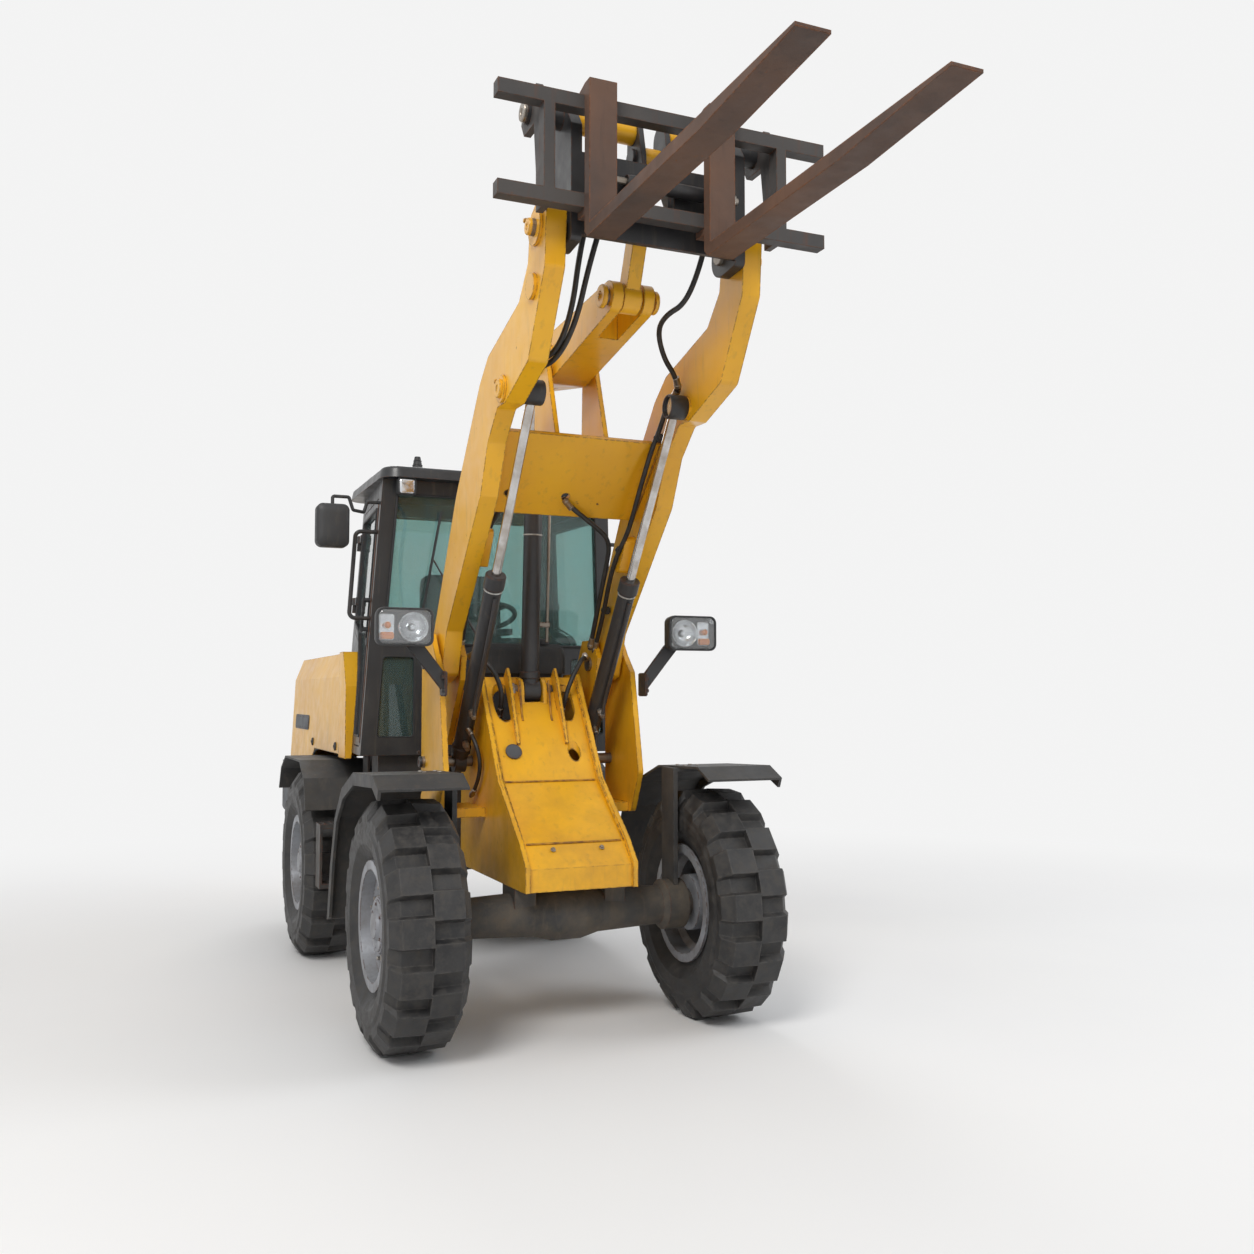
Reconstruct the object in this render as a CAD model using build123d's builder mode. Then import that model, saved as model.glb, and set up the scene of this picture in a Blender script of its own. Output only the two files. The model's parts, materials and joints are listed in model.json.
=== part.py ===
"""Compact articulated wheel loader with a pallet-fork carriage, boom fully raised.

The machine stands on its tyres at Z = 0 and points along -Y, with +X on its left-hand side.
The origin is on the ground, midway between the counterweight's rear face and the fork tips.
Side-view places of the front half are given as (forward of the front axle, height), and those
of the rear half as (behind the articulation hinge, height).  All sizes are in millimetres.
"""

import os
from math import cos, hypot, radians, sin

from build123d import *

os.makedirs("parts", exist_ok=True)

# ---------------------------------------------------------------- driving dimensions
WHEELBASE = 1950.0
REAR_OVERHANG = 1360.0  # rear axle to the counterweight's rear face
TRACK = 1330.0  # between the tyres' middle planes
TYRE_DIAMETER = 968.0
TYRE_WIDTH = 318.0
RIM_DIAMETER = 500.0  # over the flanges
RIM_WIDTH = 264.0  # over the flanges
FIT = 0.05  # radial clearance of a turning or sliding fit
SEAT = 0.3  # gap between curved faces that sit together
SIDE_GAP = 6.0  # gap beside a moving eye, arm or door

# side-view pivots of the loader linkage, boom raised: (forward of the front axle, height)
BOOM_PIVOT = (-500.0, 1520.0)
COUPLER_PIVOT = (840.0, 2995.0)
LIFT_EYE = (450.0, 2520.0)
LIFT_BASE = (-550.0, 1080.0)
ROCKER_PIVOT = (10.0, 2770.0)
ROCKER_REAR = (-385.0, 2815.0)
ROCKER_FRONT = (665.0, 2850.0)
LINK_TOP = (850.0, 3300.0)
TILT_BASE = (-455.0, 1395.0)

# sideways stations of the loader linkage, from the middle plane
ARM_IN = 345.0  # inner face of an arm
ARM_THICK = 75.0
FRAME_HALF = 240.0  # half width of the front frame's box
CYLINDER_X = 300.0  # lift cylinder's middle plane
TOWER_IN = 308.0  # inner tower plate
TOWER_OUT = 432.0  # outer tower plate
TOWER_PLATE = 25.0

FORK_LENGTH = 1300.0  # in front of the shank
FORK_THICK = 42.0
FORK_WIDTH = 100.0
FORK_TOP = 2945.0  # load-carrying face
FORK_PLACES = (-270.0, 180.0)
CARRIAGE_FRONT = 1035.0  # front face of the fork bars, forward of the front axle
CARRIAGE_HALF = 625.0
BAR = 50.0  # square fork bar
BAR_TOPS = (3060.0, 3400.0)
FORK_SHANK_TOP = BAR_TOPS[1] + 40.0

CAB_HALF = 655.0  # half width at the floor's front corners
CAB_TAPER = 0.065  # sideways lean of a cab side, per unit of height
CAB_NARROWING = 0.08  # narrowing of a cab side towards the rear, per unit of length
CAB_FLOOR = 1090.0
CAB_ROOF = 2400.0
CAB_FRONT = 10.0  # behind the hinge
CAB_REAR = 760.0
CAB_WALL = 45.0
CAB_WAIST = 1640.0  # height where the front and rear faces start to lean
CAB_LEAN = 60.0  # forward lean of the windscreen from the waist to the roof
HOOD_FRONT = 780.0  # front edge of the hood's top, behind the hinge
HOOD_CHEEK = 560.0  # front edge of the hood's sides, behind the hinge
HOOD_HALF = CAB_HALF + 5.0
HOOD_TOP = 1600.0
HOOD_WALL = 22.0


# ---------------------------------------------------------------- places worked out from them
FORK_TIP = CARRIAGE_FRONT + 45.0 + FORK_LENGTH
FRONT_AXLE_Y = (FORK_TIP - WHEELBASE - REAR_OVERHANG) / 2
REAR_AXLE_Y = FRONT_AXLE_Y + WHEELBASE
HINGE_Y = (FRONT_AXLE_Y + REAR_AXLE_Y) / 2
REAR_END = WHEELBASE / 2 + REAR_OVERHANG  # behind the hinge
AXLE_Z = TYRE_DIAMETER / 2
ARM_OUT = ARM_IN + ARM_THICK
SIDES = (("right", -1), ("left", 1))


def front(q, z):
    """Sketch point of the front half on the YZ plane: q ahead of the front axle, z up."""
    return (FRONT_AXLE_Y - q, z)


def rear(d, z):
    """Sketch point of the rear half on the YZ plane: d behind the hinge, z up."""
    return (HINGE_Y + d, z)


def block(x, y, z, mode=Mode.ADD):
    """Box between pairs of limits, in the part being built."""
    middle = tuple((pair[0] + pair[1]) / 2 for pair in (x, y, z))
    with Locations(middle):
        Box(*(abs(pair[1] - pair[0]) for pair in (x, y, z)), mode=mode)


def front_block(x, q, z, mode=Mode.ADD):
    block(x, (FRONT_AXLE_Y - q[1], FRONT_AXLE_Y - q[0]), z, mode)


def rear_block(x, d, z, mode=Mode.ADD):
    block(x, (HINGE_Y + d[0], HINGE_Y + d[1]), z, mode)


def plate(points, x, round_off=0.0, mode=Mode.ADD):
    """Side-view outline on the YZ plane, extruded between two X places."""
    low, high = min(x), max(x)
    with BuildSketch(Plane.YZ.offset(low)) as outline:
        with BuildLine():
            if round_off:
                FilletPolyline(*points, radius=round_off, close=True)
            else:
                Polyline(*points, close=True)
        make_face()
    extrude(outline.sketch, amount=high - low, mode=mode)


def hull_plate(circles, x, mode=Mode.ADD):
    """Plate whose outline is the hull of circles given as (point, radius)."""
    low, high = min(x), max(x)
    with BuildSketch(Plane.YZ.offset(low)) as outline:
        for point, radius in circles:
            with Locations(point):
                Circle(radius)
        make_hull()
    extrude(outline.sketch, amount=high - low, mode=mode)


def cross_pin(point, x, radius, mode=Mode.ADD):
    """Cylinder along X through a side-view point."""
    with Locations(Plane(origin=((x[0] + x[1]) / 2, *point), z_dir=(1, 0, 0)).location):
        Cylinder(radius, abs(x[1] - x[0]), mode=mode)


def tube_path(points, radius, bend):
    """Round bar along straight runs with bends of one radius."""
    with BuildLine() as path:
        FilletPolyline(*points, radius=bend)
    with BuildSketch(Plane(origin=path.line @ 0, z_dir=path.line % 0)) as section:
        Circle(radius)
    sweep(section.sketch, path=path.line)


def finish(builder, name):
    """Label a finished piece and write it as its own STEP file."""
    builder.part.label = name
    export_step(builder.part, f"parts/{name}.step")


def span(start, end):
    """Length and unit direction of a side-view line, as (length, (dy, dz))."""
    dy, dz = end[0] - start[0], end[1] - start[1]
    length = hypot(dy, dz)
    return length, (dy / length, dz / length)


def along(start, direction, distance):
    return (start[0] + direction[0] * distance, start[1] + direction[1] * distance)


def rod_between(start, end, x, radius, mode=Mode.ADD):
    """Round bar in a fore-and-aft plane between two side-view points."""
    length, direction = span(start, end)
    middle = along(start, direction, length / 2)
    with Locations(Plane(origin=(x, *middle), z_dir=(0, *direction)).location):
        Cylinder(radius, length, mode=mode)


# ---------------------------------------------------------------- wheels and axles
HUB_FACE = 60.0  # wheel disc, inboard of the rim's outer flange
SPINDLE = 60.0  # spindle radius
SPINDLE_START = TRACK / 2 - 135.0
DISC_X = TRACK / 2 + RIM_WIDTH / 2 - HUB_FACE
FLANGE_X = RIM_WIDTH / 2
BEAD_RADIUS = RIM_DIAMETER / 2 - 22.0


def build_rim(name, side, axle_y):
    """Stepped steel rim with its dished disc, hub drum and cap, turned about the axle."""
    well = BEAD_RADIUS - 30.0
    drum = 118.0
    # outer half of the section: (distance from the tyre's middle plane, radius)
    section = [
        (-FLANGE_X, BEAD_RADIUS - 14.0),
        (-FLANGE_X, RIM_DIAMETER / 2),
        (-FLANGE_X + 12.0, RIM_DIAMETER / 2),
        (-FLANGE_X + 16.0, BEAD_RADIUS),
        (-FLANGE_X + 60.0, BEAD_RADIUS - 4.0),
        (-FLANGE_X + 80.0, well),
        (FLANGE_X - 80.0, well),
        (FLANGE_X - 60.0, BEAD_RADIUS - 4.0),
        (FLANGE_X - 16.0, BEAD_RADIUS),
        (FLANGE_X - 12.0, RIM_DIAMETER / 2),
        (FLANGE_X, RIM_DIAMETER / 2),
        (FLANGE_X, BEAD_RADIUS - 14.0),
        (FLANGE_X - 50.0, BEAD_RADIUS - 20.0),
        (FLANGE_X - 66.0, well - 14.0),
        (FLANGE_X - HUB_FACE, well - 30.0),
        (FLANGE_X - HUB_FACE, drum),
        (FLANGE_X - HUB_FACE + 34.0, drum - 10.0),
        (FLANGE_X - HUB_FACE + 34.0, 62.0),
        (FLANGE_X - HUB_FACE + 52.0, 50.0),
        (FLANGE_X - HUB_FACE + 52.0, 0.0),
        (FLANGE_X - HUB_FACE + 6.0, 0.0),
        (FLANGE_X - HUB_FACE + 6.0, SPINDLE + FIT),
        (-100.0, SPINDLE + FIT),
        (-100.0, drum),
        (FLANGE_X - HUB_FACE - 16.0, drum),
        (FLANGE_X - HUB_FACE - 16.0, well - 34.0),
        (FLANGE_X - 90.0, well - 12.0),
        (-FLANGE_X + 84.0, well - 12.0),
        (-FLANGE_X + 62.0, BEAD_RADIUS - 16.0),
    ]
    with BuildPart() as rim:
        middle = TRACK / 2 * side
        with BuildSketch(Plane(origin=(middle, axle_y, AXLE_Z), x_dir=(side, 0, 0), z_dir=(0, -side, 0))):
            with BuildLine():
                Polyline(*section, close=True)
            make_face()
        revolve(axis=Axis((middle, axle_y, AXLE_Z), (1, 0, 0)))
    finish(rim, name)


LUG_COUNT = 16  # in each of the two staggered rows
LUG_HEIGHT = 34.0
LUG_SHARE = 0.56  # of a lug's pitch that its top takes
LUG_FLARE = 0.06  # wider at its foot, on each side
SHOULDER = (44.0, 5.0)  # lug shoulder: inboard of the sidewall, below the crown
LUG_END = (6.0, 62.0)  # lug's outer end: inboard of the sidewall, below the crown


def lug_ring(crown, foot, side):
    """Outline of one row of lugs round the axle, as points on circles at its crown and foot."""
    pitch = 360.0 / LUG_COUNT
    corners = ((-LUG_SHARE / 2 - LUG_FLARE, foot), (-LUG_SHARE / 2, crown), (LUG_SHARE / 2, crown),
               (LUG_SHARE / 2 + LUG_FLARE, foot))
    turns = [(n + side / 4, at, radius) for n in range(LUG_COUNT) for at, radius in corners]
    return [(radius * cos(radians((n + at) * pitch)), radius * sin(radians((n + at) * pitch)))
            for n, at, radius in turns]


def ring_section(half_section, mode=Mode.ADD):
    """Half section, as (distance from the middle plane, radius), mirrored and turned about X."""
    with BuildSketch(Plane.XZ) as section:
        with BuildLine():
            Polyline(*half_section, *[(-x, r) for x, r in reversed(half_section)], close=True)
        make_face()
    revolve(section.sketch, axis=Axis.X, mode=mode)


TREAD = TYRE_DIAMETER / 2
TYRE_HALF = TYRE_WIDTH / 2
bead = BEAD_RADIUS + SEAT
bead_in, bead_out = FLANGE_X - 58.0, FLANGE_X - 17.0
flank = RIM_DIAMETER / 2 + 66.0
rows = (
    (0.0, TREAD, TREAD - LUG_HEIGHT),
    (TYRE_HALF - SHOULDER[0], TREAD - SHOULDER[1], TREAD - LUG_HEIGHT - 3.0),
    (TYRE_HALF - LUG_END[0], TREAD - LUG_END[1], TREAD - LUG_END[1] - 22.0),
)  # distance from the middle plane, radius at the lugs' tops, radius at their feet
with BuildPart() as tyre_form:
    for side in (-1, 1):
        for x, crown, foot in rows:
            with BuildSketch(Plane.YZ.offset(side * x)):
                with BuildLine():
                    Polyline(*lug_ring(crown, foot, side), close=True)
                make_face()
        loft(ruled=True)
    ring_section([
        (bead_out, bead - 40.0), (bead_out, RIM_DIAMETER / 2 + 8.0), (TYRE_HALF - 4.0, flank),
        (TYRE_HALF, TREAD - 118.0), (TYRE_HALF - 10.0, TREAD - LUG_END[1] - 30.0),
    ])
    ring_section([
        (TYRE_HALF + 1.0, 0.0), (TYRE_HALF + 1.0, flank), (TYRE_HALF - 4.0, flank),
        (bead_out, RIM_DIAMETER / 2 + 8.0), (bead_out, bead), (bead_in, bead),
        (TYRE_HALF - 46.0, flank), (TYRE_HALF - 66.0, TREAD - LUG_HEIGHT - 36.0),
    ], Mode.SUBTRACT)


def build_tyre(name, side, axle_y):
    """Lugged tyre, seated on the rim's bead seats."""
    with BuildPart() as tyre:
        add(tyre_form.part.moved(Location((TRACK / 2 * side, axle_y, AXLE_Z), (side * 90, 0, 0))))
    finish(tyre, name)


CARRIER = 105.0  # hub carrier radius
axle_half = [
    (0.0, 113.0), (60.0, 113.0), (140.0, 92.0), (420.0, 80.0), (440.0, CARRIER), (SPINDLE_START, CARRIER),
    (SPINDLE_START, SPINDLE), (DISC_X - 4.0, SPINDLE),
]


def build_axle(name, axle_y, pad_top, pad_half):
    """Rigid axle: turned housing with its differential, hub carriers and spindles, and two pads."""
    outline = [(-x, r) for x, r in reversed(axle_half)] + axle_half[1:]
    with BuildPart() as axle:
        with BuildSketch(Plane(origin=(0, axle_y, AXLE_Z), x_dir=(1, 0, 0), z_dir=(0, -1, 0))):
            with BuildLine():
                Polyline((outline[0][0], 0), *outline, (outline[-1][0], 0), close=True)
            make_face()
        revolve(axis=Axis((0, axle_y, AXLE_Z), (1, 0, 0)))
        for side in (-1, 1):
            block((side * (pad_half - 90.0), side * pad_half), (axle_y - 80.0, axle_y + 80.0),
                  (AXLE_Z, pad_top))
    finish(axle, name)


for axle_name, axle_y in (("front", FRONT_AXLE_Y), ("rear", REAR_AXLE_Y)):
    for side_name, side in SIDES:
        build_rim(f"rim_{axle_name}_{side_name}", side, axle_y)
        build_tyre(f"tyre_{axle_name}_{side_name}", side, axle_y)

FRAME_BOTTOM = 600.0
build_axle("front_axle", FRONT_AXLE_Y, FRAME_BOTTOM, FRAME_HALF)

# ---------------------------------------------------------------- front frame
FACE_PLATE = 20.0
HINGE_LUG_RADIUS = 80.0
HINGE_PIN = 30.0
WALL_BACK = -720.0  # rear wall's rear face, ahead of the front axle
LUG_LEVELS = (645.0, 935.0)  # undersides of the front frame's hinge lugs
LUG_THICK = 30.0
frame_side = [
    (-450.0, 1470.0), (-157.0, 1018.0), (130.0, 790.0), (215.0, 700.0), (215.0, FRAME_BOTTOM),
    (WALL_BACK, FRAME_BOTTOM), (WALL_BACK, 1260.0), (-610.0, 1470.0),
]
face_strip = [
    (-468.0, 1456.0), (-172.0, 1005.0), (118.0, 774.0), (200.0, 690.0), (200.0, FRAME_BOTTOM),
    (180.0, FRAME_BOTTOM), (180.0, 682.0), (105.0, 757.0), (-188.0, 990.0), (-492.0, 1456.0),
]
TILT_EAR_IN = 44.0
TILT_EAR = 20.0
TILT_PIN = 28.0

with BuildPart() as front_frame:
    for side in (-1, 1):
        plate([front(*p) for p in frame_side], (side * (FRAME_HALF - FACE_PLATE), side * FRAME_HALF))
        hull_plate(
            [(front(*TILT_BASE), 58.0), (front(TILT_BASE[0] + 60.0, TILT_BASE[1] - 175.0), 20.0),
             (front(TILT_BASE[0] - 80.0, TILT_BASE[1] + 20.0), 20.0)],
            (side * TILT_EAR_IN, side * (TILT_EAR_IN + TILT_EAR)),
        )
    plate([front(*p) for p in face_strip], (-FRAME_HALF, FRAME_HALF))
    front_block((-FRAME_HALF, FRAME_HALF), (-610.0, -530.0), (1440.0, 1456.0))
    front_block((-FRAME_HALF, FRAME_HALF), (WALL_BACK, 190.0), (FRAME_BOTTOM, FRAME_BOTTOM + 20.0))
    front_block((-FRAME_HALF, FRAME_HALF), (WALL_BACK, WALL_BACK + 25.0), (FRAME_BOTTOM, 1260.0))
    for level in LUG_LEVELS:
        hinge_at = (0, HINGE_Y, level + LUG_THICK / 2)
        with Locations(hinge_at):
            Cylinder(HINGE_LUG_RADIUS, LUG_THICK)
        front_block((-HINGE_LUG_RADIUS, HINGE_LUG_RADIUS), (-WHEELBASE / 2, WALL_BACK),
                    (level, level + LUG_THICK))
        with Locations(hinge_at):
            Cylinder(HINGE_PIN + FIT, LUG_THICK * 2, mode=Mode.SUBTRACT)
    # hose openings high on the face, either side of the tilt cylinder
    for side in (-1, 1):
        with BuildSketch(Plane.XY.offset(900.0)):
            with Locations((side * 145.0, front(-395.0, 0)[0])):
                SlotOverall(110.0, 84.0, rotation=90)
        extrude(amount=520.0, mode=Mode.SUBTRACT)
    with BuildSketch(Plane.XY.offset(900.0)):
        with Locations((140.0, front(-255.0, 0)[0])):
            Circle(28.0)
    extrude(amount=400.0, mode=Mode.SUBTRACT)
    # the pin and the cylinder's base eye pass between the ears
    cross_pin(front(*TILT_BASE), (-FRAME_HALF / 2, FRAME_HALF / 2), TILT_PIN + FIT, mode=Mode.SUBTRACT)
    cross_pin(front(*TILT_BASE), (-TILT_EAR_IN, TILT_EAR_IN), 78.0, mode=Mode.SUBTRACT)
finish(front_frame, "front_frame")

BOOM_PIN = 32.0
BASE_PIN = 25.0
tower_outer = [
    (-605.0, 850.0), (-605.0, 1560.0), (-555.0, 1645.0), (-455.0, 1645.0), (-390.0, 1560.0),
    (-310.0, 1480.0), (-215.0, 1030.0), (-300.0, 850.0),
]
tower_inner = [
    (WALL_BACK, 1150.0), (WALL_BACK, 1420.0), (-590.0, 1630.0), (-465.0, 1630.0), (-400.0, 1545.0),
    (-425.0, 1440.0), (-640.0, 1150.0),
]
with BuildPart() as loader_towers:
    for side in (-1, 1):
        plate([front(*p) for p in tower_outer], (side * TOWER_OUT, side * (TOWER_OUT + TOWER_PLATE)), 30.0)
        plate([front(*p) for p in tower_inner], (side * TOWER_IN, side * (TOWER_IN + TOWER_PLATE)))
        front_block((side * FRAME_HALF, side * TOWER_OUT), (-605.0, -330.0), (850.0, 890.0))
        front_block((side * FRAME_HALF, side * TOWER_IN), (-605.0 - 60.0, -605.0), (1150.0, 1400.0))
        cross_pin(front(*BOOM_PIVOT), (side * (TOWER_IN - 30.0), side * (TOWER_OUT + 40.0)),
                  BOOM_PIN + SEAT, mode=Mode.SUBTRACT)
        cross_pin(front(*LIFT_BASE), (side * FRAME_HALF, side * (TOWER_OUT + 40.0)),
                  BASE_PIN + SEAT, mode=Mode.SUBTRACT)
finish(loader_towers, "loader_towers")

with BuildPart() as frame_pins:
    for side in (-1, 1):
        cross_pin(front(*BOOM_PIVOT), (side * (TOWER_IN - 12.0), side * (TOWER_OUT + TOWER_PLATE + 12.0)),
                  BOOM_PIN)
        cross_pin(front(*LIFT_BASE), (side * (FRAME_HALF + SEAT), side * (TOWER_OUT + TOWER_PLATE + 12.0)),
                  BASE_PIN)
    cross_pin(front(*TILT_BASE), (-TILT_EAR_IN - TILT_EAR - 14.0, TILT_EAR_IN + TILT_EAR + 14.0), TILT_PIN)
    low, high = LUG_LEVELS[0] - 12.0, LUG_LEVELS[1] + LUG_THICK + 12.0
    with Locations((0, HINGE_Y, (low + high) / 2)):
        Cylinder(HINGE_PIN, high - low)
finish(frame_pins, "frame_pins")

# front fenders: band over each wheel, with a lip at the outer edge and a bracket from the axle
FENDER_IN = 500.0
FENDER_OUT = 845.0
fender_line = [(335.0, 1030.0), (235.0, 1078.0), (-150.0, 1066.0), (-400.0, 985.0), (-555.0, 845.0),
               (-645.0, 640.0), (-712.0, 392.0)]
fender_under = [(-700.0, 396.0), (-634.0, 643.0), (-546.0, 851.0), (-394.0, 976.0), (-149.0, 1056.0),
                (234.0, 1068.0), (331.0, 1021.0)]
lip_under = [(-655.0, 410.0), (-590.0, 660.0), (-510.0, 835.0), (-370.0, 945.0), (-145.0, 1015.0),
             (225.0, 1030.0), (318.0, 990.0)]
with BuildPart() as front_fenders:
    for side in (-1, 1):
        plate([front(*p) for p in fender_line + fender_under], (side * FENDER_IN, side * FENDER_OUT))
        plate([front(*p) for p in fender_line + lip_under], (side * (FENDER_OUT - 12.0), side * FENDER_OUT))
        front_block((side * 474.0, side * 494.0), (-60.0, 60.0), (AXLE_Z + 60.0, 1064.0))
        front_block((side * 474.0, side * FENDER_OUT * 0.7), (-60.0, 60.0), (1048.0, 1064.0))
        cross_pin((FRONT_AXLE_Y, AXLE_Z), (side * 460.0, side * 500.0), 105.0 + SEAT, mode=Mode.SUBTRACT)
finish(front_fenders, "front_fenders")

# headlights on arms from the towers
LAMP_X = 650.0
LAMP_Q = -210.0
LAMP_Z = 1652.0
LAMP_DEPTH = 110.0
LAMP_BACK = FRONT_AXLE_Y - LAMP_Q + LAMP_DEPTH
TOWER_FACE = TOWER_OUT + TOWER_PLATE
with BuildPart() as headlights:
    for side in (-1, 1):
        with BuildSketch(Plane.XZ.offset(-LAMP_BACK)):
            with Locations((side * LAMP_X, LAMP_Z)):
                RectangleRounded(236.0, 156.0, 30.0)
        extrude(amount=LAMP_DEPTH)
        arm_outline = [(TOWER_FACE, 1380.0), (TOWER_FACE, 1470.0), (600.0, 1660.0), (690.0, 1660.0),
                       (690.0, 1610.0)]
        with BuildSketch(Plane.XZ.offset(-LAMP_BACK)):
            with BuildLine():
                Polyline(*[(side * x, z) for x, z in arm_outline], close=True)
            make_face()
        extrude(amount=-14.0)
finish(headlights, "headlights")

# ---------------------------------------------------------------- boom
arm_outline = [
    (-600.0, 1565.0), (-190.0, 2212.0), (150.0, 2608.0), (262.0, 2692.0), (640.0, 2792.0),
    (740.0, 2900.0), (765.0, 3060.0), (845.0, 3098.0), (935.0, 3045.0), (918.0, 2840.0),
    (745.0, 2553.0), (480.0, 2462.0), (385.0, 2465.0), (262.0, 2355.0), (165.0, 2160.0),
    (-330.0, 1650.0), (-405.0, 1460.0), (-545.0, 1425.0),
]
ROCKER_PIN = 35.0
COUPLER_PIN = 30.0
BRACKET_IN = 97.0
BRACKET_PLATE = 20.0
HOSE_HOLES = (0.0, -250.0)
STOP_AT = (-140.0, 1935.0)  # lower end of the rubber stop inside each arm
STOP_OUT = 48.0
PAD_AT = (800.0, 2800.0)  # transport bolt's boss, outside each arm
cross_plate = [(-85.0, 2152.0), (205.0, 2432.0), (219.0, 2418.0), (-71.0, 2138.0)]
with BuildPart() as boom:
    for side in (-1, 1):
        plate([front(*p) for p in arm_outline], (side * ARM_IN, side * ARM_OUT), 30.0)
        cross_pin(front(*COUPLER_PIVOT), (side * ARM_OUT, side * (ARM_OUT + 12.0)), 62.0)
        cross_pin(front(*LIFT_EYE), (side * ARM_OUT, side * (ARM_OUT + 10.0)), 52.0)
        cross_pin(front(*LIFT_EYE), (side * (ARM_IN - 10.0), side * ARM_IN), 46.0)
        hull_plate(
            [(front(*ROCKER_PIVOT), 62.0), (front(-60.0, 2185.0), 12.0), (front(185.0, 2420.0), 12.0)],
            (side * BRACKET_IN, side * (BRACKET_IN + BRACKET_PLATE)),
        )
        cross_pin(front(*BOOM_PIVOT), (side * (ARM_IN - 30.0), side * (ARM_OUT + 30.0)), BOOM_PIN + FIT,
                  mode=Mode.SUBTRACT)
        cross_pin(front(*COUPLER_PIVOT), (side * (ARM_IN - 30.0), side * (ARM_OUT + 30.0)),
                  COUPLER_PIN + FIT, mode=Mode.SUBTRACT)
    plate([front(*p) for p in cross_plate], (-ARM_IN, ARM_IN))
    for x in HOSE_HOLES:
        with Locations(Plane(origin=(x, *front(-5.0, 2216.0)), z_dir=(0, 0.69, 0.72)).location):
            Cylinder(19.0, 60.0, mode=Mode.SUBTRACT)
    for side in (-1, 1):
        hull_plate(
            [(front(*STOP_AT), 22.0), (front(STOP_AT[0] + 70.0, STOP_AT[1] + 110.0), 22.0)],
            (side * (ARM_IN - STOP_OUT), side * ARM_IN),
        )
        cross_pin(front(*PAD_AT), (side * ARM_OUT, side * (ARM_OUT + 14.0)), 46.0)
    cross_pin(front(*ROCKER_PIVOT), (-BRACKET_IN - 60.0, BRACKET_IN + 60.0), ROCKER_PIN + FIT,
              mode=Mode.SUBTRACT)
finish(boom, "boom")

# ---------------------------------------------------------------- rocker, link and their pins
ROCKER_HALF = 84.0
EYE_SLOT = 42.0
EYE_HALF = 36.0
LINK_PIN = 30.0
with BuildPart() as rocker_pin:
    cross_pin(front(*ROCKER_PIVOT), (-BRACKET_IN - BRACKET_PLATE - 16.0,
                                     BRACKET_IN + BRACKET_PLATE + 16.0), ROCKER_PIN)
finish(rocker_pin, "rocker_pin")

with BuildPart() as rocker:
    hull_plate(
        [(front(*ROCKER_REAR), 56.0), (front(*ROCKER_PIVOT), 86.0), (front(*ROCKER_FRONT), 60.0)],
        (-ROCKER_HALF, ROCKER_HALF),
    )
    cross_pin(front(*ROCKER_PIVOT), (-BRACKET_IN + SIDE_GAP, BRACKET_IN - SIDE_GAP), 78.0)
    front_block((-EYE_SLOT, EYE_SLOT), (ROCKER_REAR[0] - 200.0, ROCKER_REAR[0] + 175.0), (2600.0, 3050.0),
                mode=Mode.SUBTRACT)
    front_block((-EYE_SLOT, EYE_SLOT), (ROCKER_FRONT[0] - 200.0, ROCKER_FRONT[0] + 200.0),
                (2600.0, 3050.0), mode=Mode.SUBTRACT)
    for side in (-1, 1):
        cross_pin(front(*ROCKER_REAR), (side * ROCKER_HALF, side * (ROCKER_HALF + 8.0)), 40.0)
    cross_pin(front(*ROCKER_PIVOT), (-200.0, 200.0), ROCKER_PIN + FIT, mode=Mode.SUBTRACT)
    cross_pin(front(*ROCKER_FRONT), (-200.0, 200.0), LINK_PIN + FIT, mode=Mode.SUBTRACT)
finish(rocker, "rocker")

with BuildPart() as link_pin:
    cross_pin(front(*ROCKER_FRONT), (-ROCKER_HALF - 14.0, ROCKER_HALF + 14.0), LINK_PIN)
finish(link_pin, "link_pin")

with BuildPart() as link:
    cross_pin(front(*ROCKER_FRONT), (-EYE_HALF, EYE_HALF), 54.0)
    hull_plate([(front(*ROCKER_FRONT), 36.0), (front(*LINK_TOP), 34.0)], (-28.0, 28.0))
    cross_pin(front(*LINK_TOP), (-EYE_HALF, EYE_HALF), 46.0)
    cross_pin(front(*ROCKER_FRONT), (-200.0, 200.0), LINK_PIN + FIT, mode=Mode.SUBTRACT)
finish(link, "link")

# ---------------------------------------------------------------- coupler, carriage and forks
COUPLER_IN = 298.0
COUPLER_PLATE = ARM_IN - SIDE_GAP - COUPLER_IN - 1.0
TUBE_AT = (850.0, 3392.0)
COUPLER_TUBE = 38.0
EAR_X = 432.0
EAR_PLATE = 25.0
LINK_EAR = 20.0
SLOT_HALF = EYE_SLOT + LINK_EAR / 2
with BuildPart() as coupler_pins:
    for side in (-1, 1):
        cross_pin(front(*COUPLER_PIVOT), (side * (COUPLER_IN - 14.0), side * (ARM_OUT + 26.0)), COUPLER_PIN)
finish(coupler_pins, "coupler_pins")

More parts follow.
